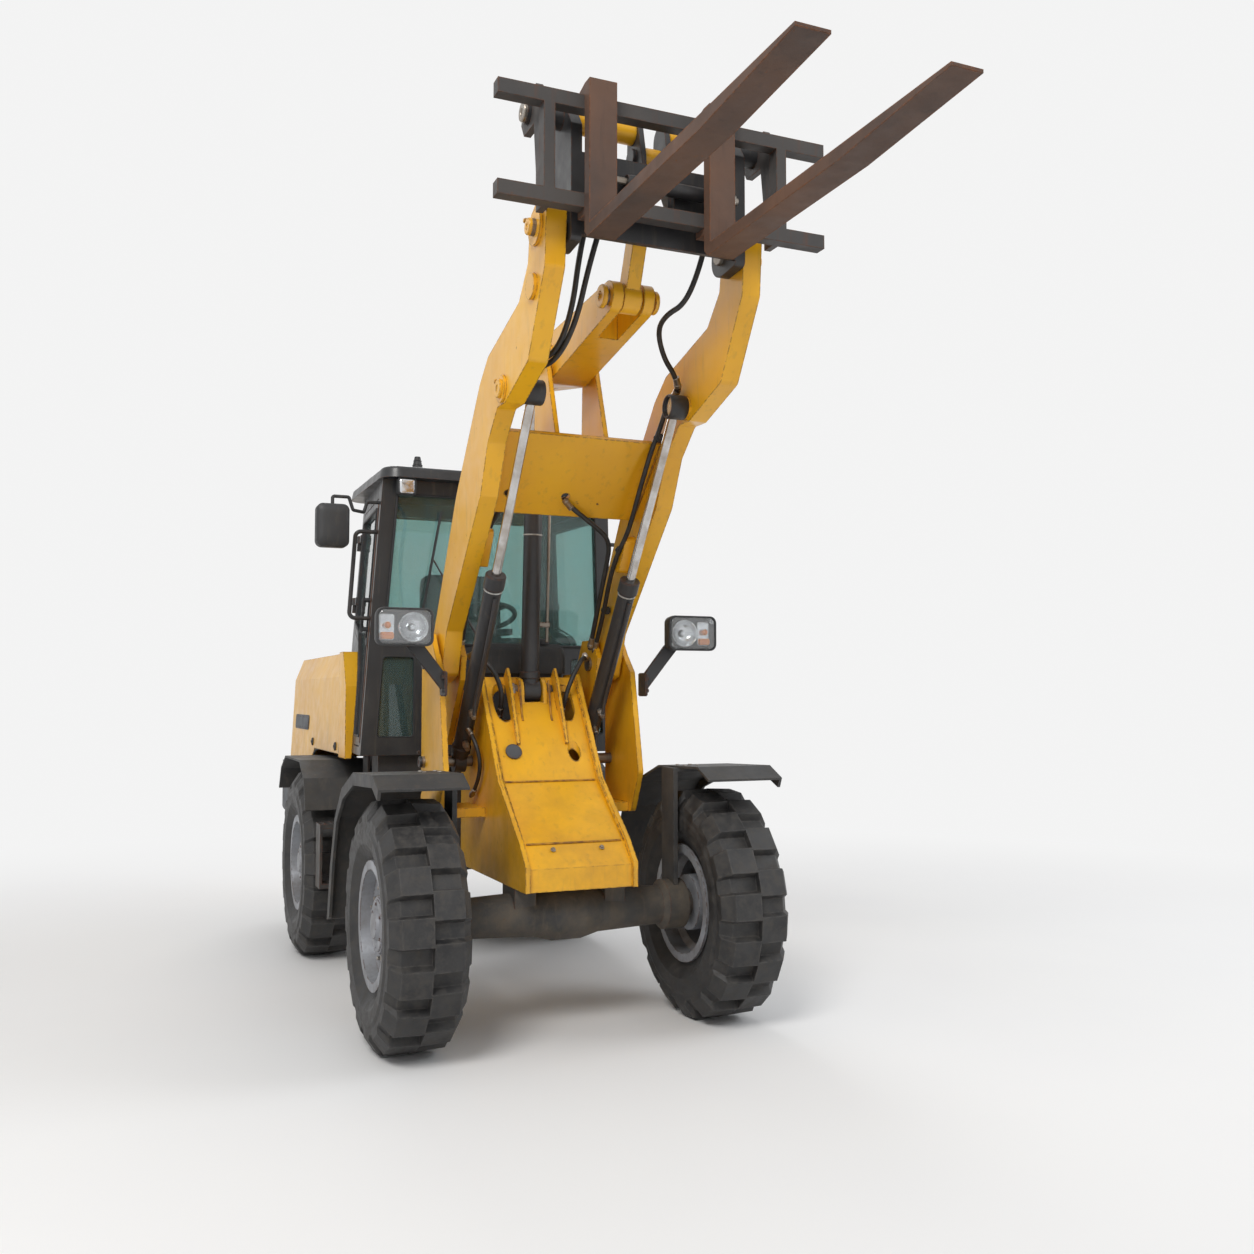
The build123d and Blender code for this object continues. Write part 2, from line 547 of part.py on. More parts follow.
with BuildPart() as coupler:
    for side in (-1, 1):
        hull_plate(
            [(front(*COUPLER_PIVOT), 72.0), (front(*TUBE_AT), 56.0), (front(935.0, 3330.0), 20.0),
             (front(935.0, 2950.0), 20.0)],
            (side * COUPLER_IN, side * (COUPLER_IN + COUPLER_PLATE)),
        )
        cross_pin(front(*TUBE_AT), (side * EYE_SLOT, side * (EAR_X + EAR_PLATE + 14.0)), COUPLER_TUBE)
        hull_plate(
            [(front(*LINK_TOP), 54.0), (front(*TUBE_AT), 48.0), (front(931.0, 3200.0), 15.0),
             (front(931.0, 3080.0), 15.0)],
            (side * EYE_SLOT, side * (EYE_SLOT + LINK_EAR)),
        )
        cross_pin(front(*LINK_TOP), (side * (EYE_SLOT + LINK_EAR), side * (EYE_SLOT + LINK_EAR + 12.0)),
                  34.0)
        cross_pin(front(*COUPLER_PIVOT), (side * 200.0, side * 400.0), COUPLER_PIN + FIT, mode=Mode.SUBTRACT)
    front_block((-COUPLER_IN, COUPLER_IN), (935.0, 955.0), (2950.0, 3240.0))
    front_block((-SLOT_HALF, SLOT_HALF), (925.0, 965.0), (3060.0, 3300.0), mode=Mode.SUBTRACT)
finish(coupler, "coupler")

CARRIAGE_BACK = CARRIAGE_FRONT - BAR
carriage_ear = [
    (CARRIAGE_BACK, 3010.0), (CARRIAGE_BACK, 3400.0), (930.0, 3462.0), (800.0, 3462.0), (770.0, 3380.0),
    (800.0, 3330.0), (905.0, 3330.0), (930.0, 3150.0), (930.0, 3010.0),
]
with BuildPart() as fork_carriage:
    for top in BAR_TOPS:
        front_block((-CARRIAGE_HALF, CARRIAGE_HALF), (CARRIAGE_BACK, CARRIAGE_FRONT), (top - BAR, top))
    for side in (-1, 1):
        front_block((side * 425.0, side * 465.0), (CARRIAGE_BACK, CARRIAGE_FRONT),
                    (BAR_TOPS[0] - BAR, BAR_TOPS[1]))
        plate([front(*p) for p in carriage_ear], (side * EAR_X, side * (EAR_X + EAR_PLATE)))
        cross_pin(front(*TUBE_AT), (side * 400.0, side * 500.0), COUPLER_TUBE + SEAT, mode=Mode.SUBTRACT)
finish(fork_carriage, "fork_carriage")

SHANK_THICK = 45.0
shank_front = CARRIAGE_FRONT + SHANK_THICK
fork_profile = [
    (CARRIAGE_FRONT, FORK_SHANK_TOP), (shank_front, FORK_SHANK_TOP), (shank_front, FORK_TOP),
    (FORK_TIP, FORK_TOP), (FORK_TIP, FORK_TOP - 10.0), (FORK_TIP - 500.0, FORK_TOP - FORK_THICK),
    (CARRIAGE_FRONT + 25.0, FORK_TOP - FORK_THICK), (CARRIAGE_FRONT, FORK_TOP - FORK_THICK + 25.0),
]
hook_profiles = (
    [(CARRIAGE_FRONT, FORK_SHANK_TOP), (CARRIAGE_FRONT, BAR_TOPS[1]), (CARRIAGE_BACK, BAR_TOPS[1]),
     (CARRIAGE_BACK, BAR_TOPS[1] - 25.0), (CARRIAGE_BACK - 14.0, BAR_TOPS[1] - 25.0),
     (CARRIAGE_BACK - 14.0, BAR_TOPS[1] + 25.0)],
    [(CARRIAGE_FRONT, BAR_TOPS[0] - 75.0), (CARRIAGE_FRONT, BAR_TOPS[0] - BAR),
     (CARRIAGE_BACK, BAR_TOPS[0] - BAR), (CARRIAGE_BACK, BAR_TOPS[0] - 25.0),
     (CARRIAGE_BACK - 14.0, BAR_TOPS[0] - 25.0), (CARRIAGE_BACK - 14.0, BAR_TOPS[0] - 70.0)],
)
for (side_name, _), place in zip(SIDES, FORK_PLACES):
    with BuildPart() as fork:
        limits = (place - FORK_WIDTH / 2, place + FORK_WIDTH / 2)
        plate([front(*p) for p in fork_profile], limits)
        for profile in hook_profiles:
            plate([front(*p) for p in profile], limits)
    finish(fork, f"fork_{side_name}")

# ---------------------------------------------------------------- cylinders
LIFT_BARREL = 37.0
LIFT_ROD = 19.0
LIFT_BARREL_LENGTH = 960.0
TILT_BARREL = 41.0
TILT_ROD = 24.0
TILT_BARREL_LENGTH = 1130.0


def build_cylinder(barrel_name, rod_name, x, base, eye, sizes):
    """Hydraulic cylinder: barrel with its base eye, and rod with a solid end eye.

    sizes: barrel radius, rod radius, barrel length, base pin radius, base eye half width,
    rod eye radius, rod eye half width, rod length kept inside the barrel.
    """
    barrel_r, rod_r, barrel_length, pin_r, base_half, eye_r, eye_half, kept = sizes
    length, direction = span(base, eye)
    gland = along(base, direction, barrel_length)
    with BuildPart() as barrel:
        rod_between(along(base, direction, 30.0), gland, x, barrel_r)
        rod_between(along(base, direction, barrel_length - 60.0), gland, x, barrel_r + 4.0)
        cross_pin(base, (x - base_half, x + base_half), pin_r + 24.0)
        cross_pin(base, (x - base_half - 1.0, x + base_half + 1.0), pin_r + FIT, mode=Mode.SUBTRACT)
        rod_between(along(base, direction, 90.0), along(gland, direction, 1.0), x, rod_r + FIT,
                    mode=Mode.SUBTRACT)
    finish(barrel, barrel_name)
    with BuildPart() as rod:
        rod_between(along(gland, direction, -kept), along(eye, direction, -eye_r * 0.5), x, rod_r)
        cross_pin(eye, (x - eye_half, x + eye_half), eye_r)
    finish(rod, rod_name)


for side_name, side in SIDES:
    build_cylinder(
        f"lift_barrel_{side_name}", f"lift_rod_{side_name}", side * CYLINDER_X,
        front(*LIFT_BASE), front(*LIFT_EYE),
        (LIFT_BARREL, LIFT_ROD, LIFT_BARREL_LENGTH, BASE_PIN, 25.0, 46.0, 28.0, 120.0),
    )
build_cylinder(
    "tilt_barrel", "tilt_rod", 0.0, front(*TILT_BASE), front(*ROCKER_REAR),
    (TILT_BARREL, TILT_ROD, TILT_BARREL_LENGTH, TILT_PIN, 38.0, 50.0, EYE_HALF, 400.0),
)

# ---------------------------------------------------------------- rear chassis
CHASSIS_HALF = 275.0
CHASSIS_PLATE = 25.0
CHASSIS_BOTTOM = 600.0
CHASSIS_TOP = 1000.0
CHASSIS_FRONT = 130.0
CHASSIS_REAR = REAR_END - 235.0
LUG_GAP = 5.0
ENGINE = (WHEELBASE / 2 + 255.0, CHASSIS_REAR - 150.0)  # behind the hinge
ENGINE_BOTTOM = 760.0
with BuildPart() as rear_chassis:
    side_outline = [
        (CHASSIS_FRONT, CHASSIS_BOTTOM), (CHASSIS_REAR, CHASSIS_BOTTOM), (CHASSIS_REAR, 940.0),
        (1150.0, CHASSIS_TOP), (CHASSIS_FRONT, CHASSIS_TOP),
    ]
    for side in (-1, 1):
        plate([rear(*p) for p in side_outline], (side * (CHASSIS_HALF - CHASSIS_PLATE), side * CHASSIS_HALF))
        # cab carriers, from the side plate out to the sill
        rear_block((side * CHASSIS_HALF, side * 560.0), (60.0, 200.0), (985.0, CAB_FLOOR))
        rear_block((side * CHASSIS_HALF, side * 480.0), (600.0, 740.0), (1010.0, CAB_FLOOR))
        rear_block((side * (CHASSIS_HALF - CHASSIS_PLATE), side * CHASSIS_HALF), (60.0, 960.0),
                   (985.0, CAB_FLOOR))
    for d in (CHASSIS_FRONT, 700.0, CHASSIS_REAR - 25.0):
        rear_block((-CHASSIS_HALF, CHASSIS_HALF), (d, d + 25.0), (CHASSIS_BOTTOM, 940.0))
    rear_block((-CHASSIS_HALF, CHASSIS_HALF), (870.0, 1080.0), (CHASSIS_BOTTOM, CHASSIS_BOTTOM + 25.0))
    for d in (ENGINE[0] + 60.0, ENGINE[1] - 140.0):
        rear_block((-CHASSIS_HALF, CHASSIS_HALF), (d, d + 80.0), (ENGINE_BOTTOM - 50.0, ENGINE_BOTTOM))
    for level in (LUG_LEVELS[0] + LUG_THICK + LUG_GAP, LUG_LEVELS[1] - LUG_THICK - LUG_GAP):
        with Locations((0, HINGE_Y, level + LUG_THICK / 2)):
            Cylinder(HINGE_LUG_RADIUS, LUG_THICK)
        rear_block((-HINGE_LUG_RADIUS, HINGE_LUG_RADIUS), (0.0, CHASSIS_FRONT), (level, level + LUG_THICK))
        with Locations((0, HINGE_Y, level + LUG_THICK / 2)):
            Cylinder(HINGE_PIN + SEAT, LUG_THICK * 2, mode=Mode.SUBTRACT)
finish(rear_chassis, "rear_chassis")

build_axle("rear_axle", REAR_AXLE_Y, CHASSIS_BOTTOM, CHASSIS_HALF - 20.0)

with BuildPart() as engine_block:
    rear_block((-240.0, 240.0), ENGINE, (ENGINE_BOTTOM, ENGINE_BOTTOM + 600.0))
finish(engine_block, "engine_block")

COUNTER_HALF = 705.0
COUNTER_TOP = 965.0
COUNTER_BOTTOM = 640.0
COUNTER_FRONT = WHEELBASE / 2 + 525.0  # behind the hinge, clear of the rear tyres
HITCH_Z = 770.0
HITCH_PIN = 16.0
with BuildPart() as counterweight:
    with BuildSketch(Plane.XY.offset(COUNTER_BOTTOM)):
        with Locations((0, HINGE_Y + (COUNTER_FRONT + REAR_END) / 2)):
            RectangleRounded(2 * COUNTER_HALF, REAR_END - COUNTER_FRONT, 60.0)
    extrude(amount=COUNTER_TOP - COUNTER_BOTTOM)
    fillet(counterweight.edges().group_by(Axis.Z)[0].sort_by(Axis.Y)[-3:], 40.0)
    rear_block((-CHASSIS_HALF, CHASSIS_HALF), (COUNTER_FRONT - 1.0, CHASSIS_REAR),
               (COUNTER_BOTTOM - 1.0, COUNTER_TOP + 1.0), mode=Mode.SUBTRACT)
    rear_block((-70.0, 70.0), (REAR_END - 120.0, REAR_END + 1.0), (HITCH_Z - 40.0, HITCH_Z + 40.0),
               mode=Mode.SUBTRACT)
    # the pin's bore runs from below through both jaws, and ends blind above the upper one
    with Locations((0, HINGE_Y + REAR_END - 60.0, (COUNTER_BOTTOM - 1.0 + HITCH_Z + 80.0) / 2)):
        Cylinder(HITCH_PIN, HITCH_Z + 81.0 - COUNTER_BOTTOM, mode=Mode.SUBTRACT)
finish(counterweight, "counterweight")

REAR_FENDER_IN = 500.0
REAR_FENDER_OUT = 830.0
BRACKET_D = (WHEELBASE / 2 + 10.0, WHEELBASE / 2 + 70.0)
rear_fender_line = [(-478.0, 800.0), (-408.0, 955.0), (-250.0, 1040.0), (270.0, 1040.0), (440.0, 968.0),
                    (515.0, 850.0)]
rear_fender_under = [(505.0, 845.0), (432.0, 960.0), (268.0, 1030.0), (-248.0, 1030.0), (-400.0, 948.0),
                     (-468.0, 796.0)]
with BuildPart() as rear_fenders:
    for side in (-1, 1):
        outline = [(REAR_AXLE_Y + dy, z) for dy, z in rear_fender_line + rear_fender_under]
        plate(outline, (side * REAR_FENDER_IN, side * REAR_FENDER_OUT))
        rear_block((side * (REAR_FENDER_IN - 16.0), side * REAR_FENDER_IN), BRACKET_D, (945.0, 1040.0))
        rear_block((side * CHASSIS_HALF, side * REAR_FENDER_IN), BRACKET_D, (945.0, 961.0))
finish(rear_fenders, "rear_fenders")

STEP_DEPTH = 120.0
STEP_BACK = WHEELBASE / 2 - TYRE_DIAMETER / 2 - 26.0  # clear of the rear tyre
STEP_D = (STEP_BACK - STEP_DEPTH, STEP_BACK)
with BuildPart() as cab_steps:
    for side in (-1, 1):
        for z in (430.0, 720.0):
            rear_block((side * 540.0, side * 780.0), STEP_D, (z, z + 24.0))
        rear_block((side * 540.0, side * 552.0), STEP_D, (430.0, CAB_FLOOR))
        rear_block((side * 768.0, side * 780.0), STEP_D, (430.0, 744.0))
finish(cab_steps, "cab_steps")

# ---------------------------------------------------------------- cab
GLASS = 6.0
PANE_INSET = 14.0  # from the outer face to the pane
FRONT_HEAD = 2330.0
WINDOW_EDGE = 70.0  # pillar width beside the front windows
LOW_WINDOW = (1175.0, 1560.0)
LOW_WINDOW_IN = 400.0
REAR_SILL = 1690.0
cab_side = [
    (CAB_FRONT, CAB_FLOOR), (CAB_FRONT, CAB_WAIST), (CAB_FRONT - CAB_LEAN, CAB_ROOF),
    (CAB_REAR - CAB_LEAN, CAB_ROOF), (CAB_REAR, CAB_WAIST), (CAB_REAR, CAB_FLOOR),
]
door_opening = [
    (70.0, 40.0), (330.0, 40.0), (362.0, 400.0), (480.0, 560.0), (690.0, 620.0), (650.0, 1235.0),
    (30.0, 1235.0),
    (70.0, 560.0),
]  # along the left side from the hinge's station, up from the floor


def cab_half(z, d=CAB_FRONT):
    """Half width of the cab's outer face at a height and a distance behind the hinge."""
    return CAB_HALF - CAB_TAPER * (z - CAB_FLOOR) - CAB_NARROWING * (d - CAB_FRONT)


def left_side(inset=0.0):
    """Plane on the cab's left face: X runs rearwards, Y up, and Z out of the cab."""
    origin = (cab_half(CAB_FLOOR, 0.0), HINGE_Y, CAB_FLOOR)
    face = Plane(origin=origin, x_dir=(-CAB_NARROWING, 1, 0), z_dir=(1, CAB_NARROWING, CAB_TAPER))
    return face.offset(-inset)


def door_shape(inset, limits, mode=Mode.ADD):
    """Door outline shrunk by an inset, as a slab between two depths inside the left face."""
    with BuildSketch(left_side(max(limits))) as outline:
        with BuildLine():
            Polyline(*door_opening, close=True)
        make_face()
        fillet(outline.vertices(), 45.0)
        if inset:
            offset(amount=-inset, kind=Kind.ARC, mode=Mode.REPLACE)
    extrude(outline.sketch, amount=max(limits) - min(limits), mode=mode)


def hinge_bar(along_face, up, outwards, mode=Mode.ADD):
    """Box on the left face, between limits along it, up it and out of it."""
    middle = tuple((pair[0] + pair[1]) / 2 for pair in (along_face, up, outwards))
    with Locations(left_side().location * Location(middle)):
        Box(*(pair[1] - pair[0] for pair in (along_face, up, outwards)), mode=mode)


def hinge_round(up, radius, mode=Mode.ADD):
    """Cylinder on the door's hinge line between two heights on the left face."""
    with Locations(left_side().location * Location((HINGE_U, (up[0] + up[1]) / 2, HINGE_OUT), (90, 0, 0))):
        Cylinder(radius, up[1] - up[0], mode=mode)


def front_outline(inset, z):
    """Front-view outline of the cab between two heights, inset from its outer faces."""
    low, high = z
    return [
        (-(cab_half(low) - inset), low), (cab_half(low) - inset, low),
        (cab_half(high) - inset, high), (-(cab_half(high) - inset), high),
    ]


def low_window(side):
    low, high = LOW_WINDOW
    return [
        (side * (cab_half(low) - WINDOW_EDGE), low), (side * LOW_WINDOW_IN, low),
        (side * LOW_WINDOW_IN, high), (side * (cab_half(high) - WINDOW_EDGE), high),
    ]


def front_prism(points, d, mode=Mode.ADD, round_off=0.0):
    """Front-view outline extruded between two distances behind the hinge."""
    with BuildSketch(Plane.XZ.offset(-(HINGE_Y + d[0]))) as outline:
        with BuildLine():
            if round_off:
                FilletPolyline(*points, radius=round_off, close=True)
            else:
                Polyline(*points, close=True)
        make_face()
    extrude(outline.sketch, amount=-(d[1] - d[0]), mode=mode)


WINDSCREEN = (1620.0, FRONT_HEAD)
FRONT_REACH = (CAB_FRONT - CAB_LEAN - 30.0, CAB_FRONT + CAB_WALL + 10.0)
REAR_REACH = (CAB_REAR - CAB_LEAN - CAB_WALL - 20.0, CAB_REAR + 10.0)
rear_window = [(-430.0, REAR_SILL), (430.0, REAR_SILL), (400.0, FRONT_HEAD), (-400.0, FRONT_HEAD)]
HINGE_U = 712.0  # door hinge line along the left face
HINGE_OUT = 12.0  # hinge line outside the left face
HINGE_LEVELS = (760.0, 1090.0)
HINGE_R = 7.0
with BuildPart() as cab_frame:
    plate([rear(d, z) for d, z in cab_side], (0.0, CAB_HALF + 50.0))
    split(bisect_by=left_side(), keep=Keep.BOTTOM)
    mirror(about=Plane.YZ)
    offset(amount=-CAB_WALL, openings=cab_frame.faces().sort_by(Axis.Z)[-1])
    front_prism(front_outline(WINDOW_EDGE, WINDSCREEN), FRONT_REACH, Mode.SUBTRACT, 40.0)
    front_prism(rear_window, REAR_REACH, Mode.SUBTRACT, 40.0)
    for side in (-1, 1):
        front_prism(low_window(side), FRONT_REACH, Mode.SUBTRACT, 25.0)
    door_shape(0.0, (-20.0, CAB_WALL + 20.0), Mode.SUBTRACT)
    for level in HINGE_LEVELS:
        hinge_bar((HINGE_U - HINGE_R, HINGE_U + 14.0), (level - 40.0, level - 1.0),
                  (0.0, HINGE_OUT + HINGE_R))
        hinge_round((level - 30.0, level + 40.0), HINGE_R)
    split(bisect_by=Plane.YZ, keep=Keep.TOP)
    mirror(about=Plane.YZ)
finish(cab_frame, "cab_frame")

with BuildPart() as cab_roof:
    with BuildSketch(Plane.XY.offset(CAB_ROOF)):
        with Locations((0, HINGE_Y + (CAB_FRONT + CAB_REAR) / 2 - CAB_LEAN - 20.0)):
            RectangleRounded(2 * (cab_half(CAB_ROOF) + 22.0), CAB_REAR - CAB_FRONT + 120.0, 90.0)
    extrude(amount=55.0, taper=12)
    fillet(cab_roof.edges().group_by(Axis.Z)[-1], 18.0)
finish(cab_roof, "cab_roof")

screen_front = CAB_FRONT + PANE_INSET
screen_lean = [
    (screen_front, CAB_FLOOR), (screen_front, CAB_WAIST), (screen_front - CAB_LEAN, CAB_ROOF),
    (screen_front + GLASS - CAB_LEAN, CAB_ROOF), (screen_front + GLASS, CAB_WAIST),
    (screen_front + GLASS, CAB_FLOOR),
]
back_glass = CAB_REAR - PANE_INSET - GLASS
back_lean = [
    (back_glass, CAB_WAIST), (back_glass + GLASS, CAB_WAIST),
    (back_glass + GLASS - CAB_LEAN, CAB_ROOF), (back_glass - CAB_LEAN, CAB_ROOF),
]
with BuildPart() as windscreen:
    plate([rear(d, z) for d, z in screen_lean], (-CAB_HALF, CAB_HALF))
    front_prism(front_outline(WINDOW_EDGE, WINDSCREEN), FRONT_REACH, Mode.INTERSECT, 40.0)
with BuildPart() as cab_glass:
    plate([rear(d, z) for d, z in back_lean], (-CAB_HALF, CAB_HALF))
    front_prism(rear_window, REAR_REACH, Mode.INTERSECT, 40.0)
    for side in (-1, 1):
        front_prism(low_window(side), (screen_front, screen_front + GLASS), Mode.ADD, 25.0)
    add(windscreen.part)
finish(cab_glass, "cab_glass")

DOOR_GAP = 5.0
DOOR_THICK = 35.0
DOOR_FRAME = 45.0
with BuildPart() as left_door:
    door_shape(DOOR_GAP, (0.0, DOOR_THICK))
    door_shape(DOOR_GAP + DOOR_FRAME, (-1.0, DOOR_THICK + 1.0), Mode.SUBTRACT)
    for level in HINGE_LEVELS:
        hinge_bar((HINGE_U - 80.0, HINGE_U), (level, level + 38.0), (0.0, HINGE_OUT))
        hinge_round((level, level + 38.0), HINGE_R + 4.0)
        hinge_round((level - 1.0, level + 39.0), HINGE_R + FIT, mode=Mode.SUBTRACT)
with BuildPart() as left_pane:
    door_shape(DOOR_GAP + DOOR_FRAME, (PANE_INSET, PANE_INSET + GLASS))
for side_name, side in SIDES:
    for source, name in ((left_door, "door"), (left_pane, "door_glass")):
        with BuildPart() as piece:
            add(source.part)
            if side < 0:
                mirror(about=Plane.YZ, mode=Mode.REPLACE)
        finish(piece, f"{name}_{side_name}")

# inside the cab
SEAT_BASE = CAB_FLOOR + CAB_WALL
SEAT_DEPTH = 340.0  # front of the cushion, behind the hinge
seat_side = [
    (0.0, 300.0), (0.0, 400.0), (50.0, 425.0), (240.0, 400.0), (290.0, 860.0), (310.0, 920.0),
    (355.0, 910.0), (345.0, 700.0), (330.0, 330.0), (290.0, 290.0),
]
with BuildPart() as seat:
    rear_block((-190.0, 190.0), (SEAT_DEPTH + 40.0, SEAT_DEPTH + 290.0), (SEAT_BASE, SEAT_BASE + 320.0))
    plate([rear(SEAT_DEPTH + d, SEAT_BASE + z) for d, z in seat_side], (-230.0, 230.0), 18.0)
finish(seat, "seat")

WHEEL_CENTRE = (245.0, 1775.0)  # behind the hinge, height
WHEEL_TILT = (90.0, 250.0)  # direction of the steering column's upper end
HUB_HALF = 14.0
column_up = tuple(t / hypot(*WHEEL_TILT) for t in WHEEL_TILT)
column_side = [(70.0, 0.0), (70.0, 340.0), (110.0, 480.0), (190.0, 500.0), (215.0, 440.0), (150.0, 0.0)]
with BuildPart() as steering_column:
    plate([rear(d, SEAT_BASE + z) for d, z in column_side], (-130.0, 130.0), 24.0)
    rod_between(rear(*along(WHEEL_CENTRE, column_up, -200.0)),
                rear(*along(WHEEL_CENTRE, column_up, -HUB_HALF)), 0.0, 26.0)
    with Locations(Plane(origin=(0, *rear(*WHEEL_CENTRE)), z_dir=(0, *WHEEL_TILT)).location):
        Torus(170.0, 13.0)
        Cylinder(32.0, 2 * HUB_HALF)
        with PolarLocations(87.0, 3, start_angle=90):
            Box(160.0, 26.0, 10.0)
finish(steering_column, "steering_column")

# mirror on a bent tube arm, on the right only
MIRROR_X = (-885.0, -735.0)
MIRROR_Z = (2060.0, 2262.0)
MIRROR_D = (-80.0, -30.0)
arm_high, arm_low = 2290.0, 2240.0
arm_d = -5.0
head_d = (MIRROR_D[0] + MIRROR_D[1]) / 2
arm_route = [
    (500.0, arm_d, arm_high), (640.0, arm_d, arm_high), (655.0, arm_d, arm_low), (715.0, head_d, arm_low),
    (735.0, head_d, arm_high + 10.0), (810.0, head_d, arm_high + 10.0), (810.0, head_d, MIRROR_Z[1] - 20.0),
]
with BuildPart() as mirror_head:
    tube_path([(x, HINGE_Y + d, z) for x, d, z in arm_route], 8.0, 10.0)
    split(bisect_by=left_side(-SEAT), keep=Keep.TOP)
    mirror(about=Plane.YZ, mode=Mode.REPLACE)
    with BuildSketch(Plane.XZ.offset(-(HINGE_Y + MIRROR_D[0]))):
        with Locations(((MIRROR_X[0] + MIRROR_X[1]) / 2, (MIRROR_Z[0] + MIRROR_Z[1]) / 2)):
            RectangleRounded(MIRROR_X[1] - MIRROR_X[0], MIRROR_Z[1] - MIRROR_Z[0], 30.0)
    extrude(amount=-(MIRROR_D[1] - MIRROR_D[0]))
finish(mirror_head, "mirror")

rail_route = [(540.0, 6.0, 2150.0), (690.0, 6.0, 2150.0), (712.0, 32.0, 1740.0), (540.0, 32.0, 1740.0)]
with BuildPart() as grab_rails:
    tube_path([(x, HINGE_Y + d, z) for x, d, z in rail_route], 10.0, 28.0)
    split(bisect_by=left_side(-SEAT), keep=Keep.TOP)
    mirror(about=Plane.YZ)
finish(grab_rails, "grab_rails")

with BuildPart() as beacon:
    with Locations((-370.0, HINGE_Y + 120.0, CAB_ROOF + 55.0)):
        Cone(34.0, 14.0, 95.0, align=(Align.CENTER, Align.CENTER, Align.MIN))
finish(beacon, "beacon")
with BuildPart() as work_lights:
    for side in (-1, 1):
        rear_block((side * 440.0, side * 510.0), (-110.0, -55.0), (2320.0, CAB_ROOF))
finish(work_lights, "work_lights")

# ---------------------------------------------------------------- engine hood and body panels
HOOD_LOW = COUNTER_TOP + 10.0
HOOD_PIVOT = (REAR_END + 20.0, COUNTER_TOP + 5.0)  # behind the hinge, height
KNUCKLE = 14.0
HOOD_PIN = 8.0
GRILLE_SLOTS = 9
GRILLE_PITCH = 34.0
GRILLE_LOW = 1130.0
GRILLE_HALF = 330.0
RECESS_D = (1080.0, 2080.0)  # shallow pressing in each side, behind the hinge
RECESS_Z = (1290.0, 1470.0)
RECESS_DEPTH = 8.0
hood_side = [
    (HOOD_CHEEK, 1075.0), (1350.0, 1075.0), (1500.0, HOOD_LOW), (REAR_END, HOOD_LOW),
    (REAR_END, HOOD_TOP), (HOOD_CHEEK, HOOD_TOP),
]
hood_section = [
    (-HOOD_HALF, HOOD_LOW - 5.0), (HOOD_HALF, HOOD_LOW - 5.0), (HOOD_HALF - 25.0, HOOD_TOP - 130.0),
    (HOOD_HALF - 75.0, HOOD_TOP), (75.0 - HOOD_HALF, HOOD_TOP), (25.0 - HOOD_HALF, HOOD_TOP - 130.0),
]
with BuildPart() as engine_hood:
    front_prism(hood_section, (HOOD_CHEEK, REAR_END))
    fillet(engine_hood.edges().group_by(Axis.Y)[-1].sort_by(Axis.Z)[1:], 70.0)
    lids = engine_hood.faces().sort_by(Axis.Z)[:1] + engine_hood.faces().sort_by(Axis.Y)[:1]
    offset(amount=-HOOD_WALL, openings=lids)
    plate([rear(*p) for p in hood_side], (-HOOD_HALF - 1.0, HOOD_HALF + 1.0), mode=Mode.INTERSECT)
    middle = HOOD_HALF - HOOD_WALL - 40.0
    rear_block((-middle, middle), (HOOD_CHEEK - 1.0, HOOD_FRONT), (HOOD_LOW, HOOD_TOP + 1.0),
               mode=Mode.SUBTRACT)
    for n in range(GRILLE_SLOTS):
        z = GRILLE_LOW + n * GRILLE_PITCH
        rear_block((-GRILLE_HALF, GRILLE_HALF), (REAR_END - HOOD_WALL - 1.0, REAR_END + 1.0),
                   (z, z + GRILLE_PITCH / 2), mode=Mode.SUBTRACT)
    for side in (-1, 1):
        with BuildSketch(Plane.YZ.offset(side * (HOOD_HALF + 40.0))) as recess:
            with Locations(rear((RECESS_D[0] + RECESS_D[1]) / 2, (RECESS_Z[0] + RECESS_Z[1]) / 2)):
                RectangleRounded(RECESS_D[1] - RECESS_D[0], RECESS_Z[1] - RECESS_Z[0], 40.0)
        extrude(recess.sketch, amount=-side * (40.0 + RECESS_DEPTH), mode=Mode.SUBTRACT)
    for x in (-350.0, 350.0):
        limits = (x - 28.0, x + 28.0)
        rear_block(limits, (REAR_END - 4.0, HOOD_PIVOT[0]), (HOOD_PIVOT[1] + 5.0, HOOD_PIVOT[1] + 60.0))
        cross_pin(rear(*HOOD_PIVOT), limits, KNUCKLE)
        cross_pin(rear(*HOOD_PIVOT), (x - 30.0, x + 30.0), HOOD_PIN + FIT, mode=Mode.SUBTRACT)
finish(engine_hood, "engine_hood")

PANEL_FRONT = 375.0
panel_side = [
    (PANEL_FRONT, 1060.0), (PANEL_FRONT, 1420.0), (PANEL_FRONT + 82.0, HOOD_TOP - 5.0),
    (HOOD_CHEEK - SIDE_GAP, HOOD_TOP - 5.0), (HOOD_CHEEK - SIDE_GAP, 1060.0),
]
with BuildPart() as side_panels:
    plate([rear(*p) for p in panel_side], (560.0, HOOD_HALF))
    split(bisect_by=left_side(), keep=Keep.TOP)
    mirror(about=Plane.YZ)
finish(side_panels, "side_panels")

with BuildPart() as hood_hinges:
    for x in (-350.0, 350.0):
        for low, high in ((x - 44.0, x - 34.0), (x + 34.0, x + 44.0)):
            hull_plate(
                [(rear(*HOOD_PIVOT), KNUCKLE), (rear(REAR_END + 6.0, COUNTER_TOP - 30.0), 6.0),
                 (rear(REAR_END + 6.0, COUNTER_TOP - 90.0), 6.0)],
                (low, high),
            )
        cross_pin(rear(*HOOD_PIVOT), (x - 50.0, x + 50.0), HOOD_PIN)
finish(hood_hinges, "hood_hinges")

